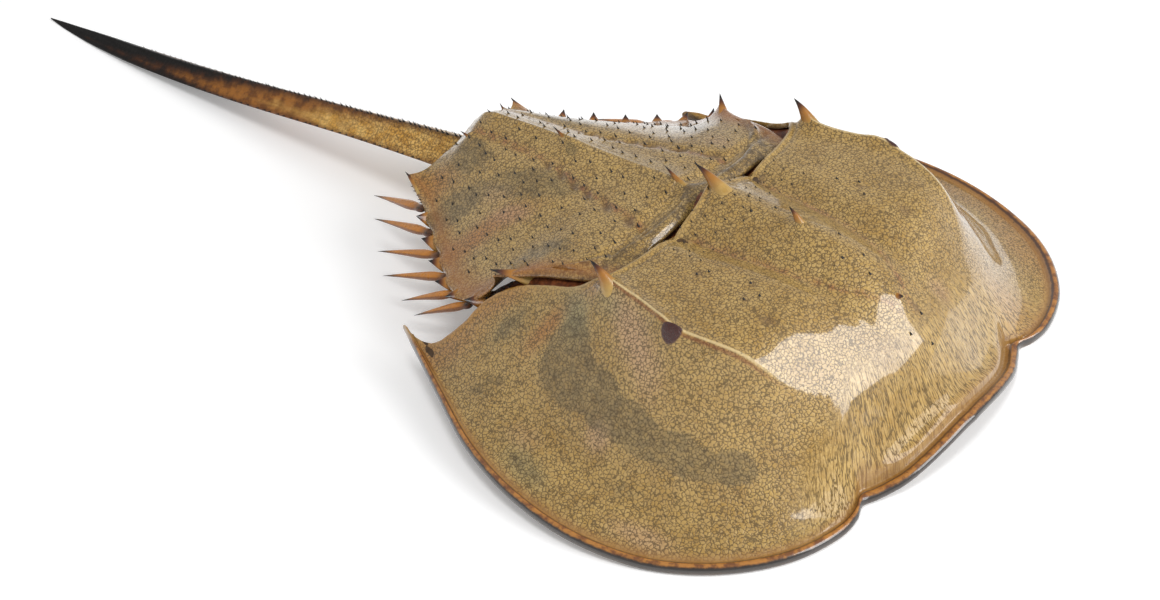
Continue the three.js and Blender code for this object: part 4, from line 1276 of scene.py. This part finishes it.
soft = board.use(blotches, Vector=mm, Size=16.0, Level=0.5, Softness=0.16)["Mask"]
fine_blotch = board.use(blotches, Vector=mm, Size=3.2, Level=0.52, Softness=0.12)["Mask"]
even = board.use(crackle, Vector=mm, Cell_Size=1.4, Line_Width=0.15, Gaps=0.36)
squeezed = board.times(mask["inward"], 0.36)
polar = board.put("ShaderNodeCombineXYZ", {"X": mask["around"], "Y": squeezed}).outputs[0]
drawn_out = board.use(crackle, Vector=polar, Cell_Size=1.3, Line_Width=0.13, Gaps=0.42)
clear = board.calc("SUBTRACT", 1.0, board.calc("MAXIMUM", mask["calm"], mask["thorn"]))
isotropic = board.calc("SUBTRACT", 1.0, mask["stretch"])
line = board.add_up(board.times(even["Line"], isotropic), board.times(drawn_out["Line"], mask["stretch"]))
line = board.times(line, clear)
rise = board.add_up(board.times(even["Rise"], isotropic), board.times(drawn_out["Rise"], mask["stretch"]))
raggedness = board.calc("SUBTRACT", board.noise(mm, 0.35, 5.0, 0.65)["Fac"], 0.5)
# Mask of old mud, which under the right eye is also painted shade of the steep slope.
mud_and_shade = board.ease(board.calc("ADD", mask["mud_and_shade"], board.times(raggedness, 0.7)), 0.26, 0.5)
mud_and_shade = board.times(mud_and_shade, board.ease(mask["mud_and_shade"], 0.02, 0.15))

colour = board.mix(soft, GROUND_DARK, GROUND_LIGHT)
colour = board.mix(board.times(even["Tone"], 0.45), colour, PALE_PAD)
colour = board.mix(board.times(fine_blotch, 0.3), colour, WORN_BROWN)
colour = board.mix(board.times(mask["pink"], 0.65), colour, PINK_TAN)
colour = board.mix(board.times(mask["amber"], board.scale(soft, 0.65, 1.0), 0.8), colour, STAIN_AMBER)
colour = board.mix(board.times(mask["teal"], 0.5), colour, GREEN_GREY)
# Dark olive: old mud, and under the right eye partly painted shade of the steep slope there.
colour = board.mix(board.times(mud_and_shade, board.scale(fine_blotch, 0.6, 0.9), 0.7), colour, DARK_MUD_AND_SHADE)
colour = board.mix(board.times(mask["streak"], board.scale(fine_blotch, 0.1, 0.55)), colour, FURROW_RED)
colour = board.mix(board.times(line, 0.78), colour, CRACK_BROWN)
colour = board.mix(board.times(mask["pit"], 0.7), colour, PIT_BROWN)
colour = board.mix(board.times(mask["slit"], 0.8), colour, SLIT_RED)
colour = board.mix(board.times(mask["border"], board.scale(fine_blotch, 0.15, 0.75)), colour, BORDER_BROWN)
colour = board.mix(board.times(mask["margin"], 0.75), colour, MARGIN_AMBER)

# Painted highlight: a pale line along the sharp crest of each eye ridge; beside it, painted shade on the
# slope just outside the crest.
crest_highlight = board.times(board.ease(board.calc("ABSOLUTE", mask["crest_side"]), 0.75, 0.2), mask["crest"])
colour = board.mix(board.times(crest_highlight, 0.8), colour, CREST_HIGHLIGHT)
shade_line = board.ease(board.calc("ABSOLUTE", board.calc("SUBTRACT", mask["crest_side"], 1.1)), 0.8, 0.1)
colour = board.mix(board.times(shade_line, mask["crest"], 0.6), colour, CREST_SHADE)

inward = mask["inward"]
rim_fade = board.times(board.ease(inward, 10.0, 3.0), mask["rimmed"])
colour = board.mix(board.times(rim_fade, 0.65), colour, RIM_AMBER)
edge_in = board.calc("ADD", inward, board.times(raggedness, 1.2))
off_groove = board.calc("ABSOLUTE", board.calc("SUBTRACT", edge_in, 3.4))
groove = board.times(board.ease(off_groove, 0.8, 0.25), mask["rimmed"])
bead = board.times(board.ease(inward, 3.4, 2.8), mask["rimmed"])
colour = board.mix(bead, colour, board.mix(fine_blotch, BEAD_AMBER, BEAD_BROWN))
# Painted shade: the outer, lower edge of the rolled rim is blackened where it turns under.
colour = board.mix(board.times(board.ease(edge_in, 1.3, 0.5), bead), colour, RIM_EDGE_SHADE)
colour = board.mix(board.times(groove, 0.85), colour, GROOVE_BROWN)

dirt = board.use(specks, Vector=mm, Spacing=1.3, Amount=0.12)["Mask"]
colour = board.mix(board.times(dirt, 0.55), colour, DIRT_BROWN)
eye = board.ease(mask["eye"], 0.9, 1.1)
colour = board.mix(eye, colour, EYE_BROWN)
# Painted shade: the undersides of both plates are coloured dark brown, varied at random.
under_shade_colour = board.mix(soft, UNDER_SHADE_DARK, UNDER_SHADE_LIGHT)
colour = board.mix(mask["under"], colour, under_shade_colour)
along_thorn = board.mix(board.ease(mask["tip"], 0.1, 0.5), colour, THORN_AMBER)
along_thorn = board.mix(board.ease(mask["tip"], 0.5, 0.75), along_thorn, THORN_BROWN)
along_thorn = board.mix(board.ease(mask["tip"], 0.68, 0.88), along_thorn, THORN_BLACK)
colour = board.mix(mask["thorn"], colour, along_thorn)
colour = board.mix(mask["spinule"], colour, SPINULE_BLACK)
board.feed(shader.inputs["Base Color"], colour)

rough = board.add_up(0.32, board.times(line, 0.2), board.times(mask["dull"], 0.2), board.times(mud_and_shade, 0.08),
                     board.times(fine_blotch, 0.06))
rough = board.calc("SUBTRACT", rough, board.times(eye, 0.12))
rough = board.calc("MAXIMUM", rough, board.times(mask["under"], 0.5))
rough = board.calc("MAXIMUM", rough, board.times(mask["spinule"], 0.6))
board.feed(shader.inputs["Roughness"], rough)
worn = board.add_up(board.times(line, 0.35), board.times(mask["dull"], 0.75), board.times(mask["thorn"], 0.6))
coat = board.calc("SUBTRACT", 1.0, worn)
no_gloss = board.add_up(board.times(mask["under"], 0.6), mask["spinule"])
coat = board.calc("SUBTRACT", coat, no_gloss, clamp=True)
board.feed(shader.inputs["Coat Weight"], coat)
shader.inputs["Coat Roughness"].default_value = 0.08
shader.inputs["Coat IOR"].default_value = 1.62
wrinkles = board.noise(mm, 0.8, 3.0)["Fac"]
height = board.add_up(board.times(rise, clear, 0.1), board.times(wrinkles, 0.12), board.times(dirt, 0.03))
bump_into(board, shader, height)
print(plate_finish.name, "has", len(plate_finish.node_tree.nodes), "nodes")

# %% [markdown]
# ## Finish of the tail spine
#
# The tail is tan and cracked into pads at its root, browns along its length and is black over its last
# third. Its ridge and its lower edges darken first. The way along it and up its flank is painted on its
# points, and disturbed by noise so that no colour ends at a ruled line.

# %% Material: tail
ROOT_TAN = "#cf9b45"
ROOT_PALE = "#e2b768"
GRAIN_BROWN = "#8f642c"
MIDDLE_BROWN = "#6b3f17"
MIDDLE_AMBER = "#9c6324"
PAD_LINE = "#4a3217"
LOW_EDGE = "#5e3311"
RIDGE_BROWN = "#3a2210"
LATE_BLACK = "#1e1008"
LATE_BROWN = "#4a2811"
TIP_BLACK = "#080504"
TAIL_SPINULE = "#0f0a07"
tail_finish, board, mm, shader = start_material("tail spine")
way, ridge, edge = board.mask("way"), board.mask("ridge"), board.mask("edge")
long_grain = board.put("ShaderNodeVectorMath", operation="MULTIPLY")
board.feed(long_grain.inputs[0], mm)
long_grain.inputs[1].default_value = (0.12, 1.0, 1.0)
streaks = board.noise(long_grain.outputs[0], 0.55, 4.0)["Fac"]
cloud = board.noise(mm, 0.07, 4.0)["Fac"]
off_middle = board.calc("ABSOLUTE", board.calc("SUBTRACT", board.mask("upward"), 0.42))
wander = board.add_up(way, board.times(board.calc("SUBTRACT", cloud, 0.5), 0.3),
                      board.times(board.calc("SUBTRACT", off_middle, 0.25), 0.5))
pads = board.use(crackle, Vector=mm, Cell_Size=1.6, Line_Width=0.14, Gaps=0.36)
strength = board.ease(way, 0.45, 0.15)
patch = board.use(blotches, Vector=mm, Size=5.0, Level=0.5, Softness=0.12)["Mask"]
colour = board.mix(patch, ROOT_TAN, ROOT_PALE)
colour = board.mix(board.times(board.ease(streaks, 0.45, 0.62), 0.5), colour, GRAIN_BROWN)
colour = board.mix(board.ease(wander, 0.16, 0.42), colour, board.mix(patch, MIDDLE_BROWN, MIDDLE_AMBER))
colour = board.mix(board.times(pads["Line"], strength, 0.7), colour, PAD_LINE)
colour = board.mix(board.times(edge, 0.6), colour, LOW_EDGE)
colour = board.mix(board.times(ridge, 0.7), colour, RIDGE_BROWN)
colour = board.mix(board.ease(wander, 0.42, 0.66), colour, board.mix(patch, LATE_BLACK, LATE_BROWN))
colour = board.mix(board.ease(wander, 0.58, 0.78), colour, TIP_BLACK)
colour = board.mix(board.mask("spinule"), colour, TAIL_SPINULE)
board.feed(shader.inputs["Base Color"], colour)
board.feed(shader.inputs["Roughness"], board.calc("ADD", 0.3, board.times(patch, 0.12)))
board.feed(shader.inputs["Coat Weight"], board.times(board.ease(way, 0.7, 0.2), board.scale(patch, 0.2, 0.4)))
shader.inputs["Coat Roughness"].default_value = 0.12
shader.inputs["Specular IOR Level"].default_value = 0.25
grain = board.noise(mm, 0.7, 4.0)["Fac"]
bump_into(board, shader, board.add_up(board.times(pads["Rise"], strength, 0.15), board.times(grain, 0.12),
                                      board.times(streaks, 0.5)))
print(tail_finish.name, "has", len(tail_finish.node_tree.nodes), "nodes")

# %% [markdown]
# ## Finish of the side spines and the hinge skin
#
# Side spines are amber horn with dark flecks, near black at ball and point. The hinge skin is a
# leathery red brown, dull beside the plates, with shade painted dark into its creases.

# %% Materials: side spines and skin
BALL_BLACK = "#241308"
LANCE_AMBER = "#c67f2b"
LANCE_PATCH = "#8a5018"
FLECK_BROWN = "#2a190c"
BLADE_EDGE = "#5a2c0e"
LANCE_TIP = "#150e09"
SKIN_BROWN = "#5a2a14"
SKIN_TAN = "#7d4523"
CREASE_SHADE = "#2b140a"
spine_finish, board, mm, shader = start_material("side spines")
tip = board.mask("tip")
patch = board.use(blotches, Vector=mm, Size=2.4, Level=0.5, Softness=0.12)["Mask"]
fleck = board.use(specks, Vector=mm, Spacing=1.1, Amount=0.35)["Mask"]
blade = board.ease(board.mask("blade"), 0.72, 0.98)
colour = board.mix(board.ease(tip, 0.04, 0.2), BALL_BLACK, LANCE_AMBER)
colour = board.mix(board.times(patch, 0.3), colour, LANCE_PATCH)
colour = board.mix(board.times(fleck, 0.4), colour, FLECK_BROWN)
colour = board.mix(board.times(blade, 0.75), colour, BLADE_EDGE)
colour = board.mix(board.ease(tip, 0.66, 0.95), colour, LANCE_TIP)
board.feed(shader.inputs["Base Color"], colour)
board.feed(shader.inputs["Roughness"], board.scale(patch, 0.26, 0.4))
board.feed(shader.inputs["Coat Weight"], board.scale(patch, 0.25, 0.4))
shader.inputs["Coat Roughness"].default_value = 0.1
bump_into(board, shader, board.times(board.noise(mm, 0.9, 3.0)["Fac"], 0.2))

skin_finish, board, mm, shader = start_material("hinge skin")
crease = board.noise(mm, 0.5, 5.0)["Fac"]
patch = board.use(blotches, Vector=mm, Size=3.0, Level=0.5, Softness=0.14)["Mask"]
colour = board.mix(patch, SKIN_BROWN, SKIN_TAN)
# Painted shade: the skin is darkened where the wrinkle bump is lowest.
colour = board.mix(board.times(board.ease(crease, 0.55, 0.4), 0.6), colour, CREASE_SHADE)
board.feed(shader.inputs["Base Color"], colour)
board.feed(shader.inputs["Roughness"], board.scale(crease, 0.35, 0.6))
board.feed(shader.inputs["Coat Weight"], board.scale(patch, 0.15, 0.35))
bump_into(board, shader, board.times(crease, 0.5))
print(spine_finish.name, "and", skin_finish.name, "made")

# %% [markdown]
# ## Making the pieces
#
# Every heap becomes one object. Each stands in for its piece of the solid frame and rides on the frame's
# one body.

# %% Pieces
front.make("front_plate", plate_finish, "plate", "prosoma")
rear.make("rear_plate", plate_finish, "plate", "opisthosoma")
skin.make("hinge_skin", skin_finish, "hinge_skin", "hinge_membrane")
tail.make("tail_spine", tail_finish, "tail_spine", "telson")
for node, heap in lances.items():
    heap.make(node + "_fine", spine_finish, "side_spine", node)

# %% [markdown]
# ## Floor
#
# The shell lies on a plain pale surface with no edge in sight. A faint tone keeps it from being flat.

# %% Floor
FLOOR_GREY = "#f4f4f4"
FLOOR_WHITE = "#fafafa"
GLOW_GREY = "#fdfdfd"
GLOW_WHITE = "#ffffff"
floor_mesh = bpy.data.meshes.new("floor")
corners = [(-3, -3, 0), (3, -3, 0), (3, 3, 0), (-3, 3, 0)]
floor_mesh.from_pydata(corners, [], [(0, 1, 2, 3)])
floor = bpy.data.objects.new("floor", floor_mesh)
bpy.context.scene.collection.objects.link(floor)
floor_finish, board, mm, shader = start_material("pale floor")
cloud = board.noise(mm, 0.01, 2.0)["Fac"]
board.feed(shader.inputs["Base Color"], board.mix(cloud, FLOOR_GREY, FLOOR_WHITE))
board.feed(shader.inputs["Roughness"], board.scale(cloud, 0.7, 0.8))
board.feed(shader.inputs["Emission Color"], board.mix(cloud, GLOW_GREY, GLOW_WHITE))
shader.inputs["Emission Strength"].default_value = 0.2
floor_mesh.materials.append(floor_finish)
print("floor of", floor.dimensions[:2], "metres")

# %% [markdown]
# ## Light
#
# One large soft lamp ahead and to the left gives the broad highlight on the front slope and the soft
# shadows behind. A smaller one high above the near side fills that side and darkens the floor under the
# margin; it casts no reflection. The surroundings are a bright studio, darker overhead, so that the far
# slopes catch bright reflections and the top stays deep in colour.

# %% Lamp and surroundings
def aim(piece, target):
    """Turns an object so that its own -Z looks at the target."""
    piece.rotation_euler = (Vector(target) - piece.location).to_track_quat("-Z", "Y").to_euler()


def square_lamp(name, turn, rise, size, energy, target, far=1.6):
    """A soft square lamp, turn and rise in degrees as seen from its target."""
    data = bpy.data.lights.new(name, "AREA")
    data.shape = "SQUARE"
    data.size = size
    data.energy = energy
    lamp = bpy.data.objects.new(name, data)
    turn, rise = math.radians(turn), math.radians(rise)
    level = math.cos(rise)
    lamp.location = target + far * Vector((level * math.cos(turn), level * math.sin(turn), math.sin(rise)))
    aim(lamp, target)
    bpy.context.scene.collection.objects.link(lamp)
    return lamp


front_slope = Vector((0.2, 0.0, 0.03))
softbox = square_lamp("softbox", turn=20, rise=33, size=1.1, energy=20, target=front_slope)
top_light = square_lamp("top_light", turn=-70, rise=76, size=0.5, energy=9, target=front_slope)
top_light.visible_glossy = False

NEAR_WALL = "#cbcac8"
FAR_WALL = "#b2b2b2"
CEILING = "#a3a3a4"
FAR_SIDE = (0.3, 0.95, 0.0)
world = bpy.data.worlds.new("studio")
world.use_nodes = True
bpy.context.scene.world = world
board = Board(world.node_tree)
direction = board.put("ShaderNodeTexCoord").outputs["Generated"]
rise_z = board.put("ShaderNodeSeparateXYZ", {"Vector": direction}).outputs["Z"]
overhead = board.ease(rise_z, 0.3, 0.95)
towards_far = board.put("ShaderNodeVectorMath", operation="DOT_PRODUCT")
board.feed(towards_far.inputs[0], direction)
towards_far.inputs[1].default_value = FAR_SIDE
far_share = board.ease(towards_far.outputs["Value"], -0.4, 0.8)
walls = board.mix(far_share, NEAR_WALL, FAR_WALL)
sky = board.mix(overhead, walls, CEILING)
background = world.node_tree.nodes["Background"]
board.feed(background.inputs["Color"], sky)
background.inputs["Strength"].default_value = 1.0
print("softbox at", [round(c, 2) for c in softbox.location])

# %% [markdown]
# ## Camera
#
# The camera looks from ahead and the right of the shell, down at about 38 degrees, and leans a little.

# %% Camera
camera_data = bpy.data.cameras.new("camera")
camera_data.lens = 70.65
camera_data.sensor_width = 36
camera = bpy.data.objects.new("camera", camera_data)
CAMERA_TURN, CAMERA_RISE, CAMERA_LEAN = math.radians(41.36), math.radians(38.40), math.radians(-3.62)
camera.location = (0.54416, -0.54045, 0.54991)
upright = Matrix.Rotation(CAMERA_TURN, 3, "Z") @ Matrix.Rotation(math.pi / 2 - CAMERA_RISE, 3, "X")
camera.rotation_euler = (upright @ Matrix.Rotation(CAMERA_LEAN, 3, "Z")).to_euler()
bpy.context.scene.collection.objects.link(camera)
bpy.context.scene.camera = camera
bpy.context.scene.view_settings.view_transform = "Standard"
print("camera right:", [round(c, 4) for c in camera.rotation_euler.to_matrix().col[0]])
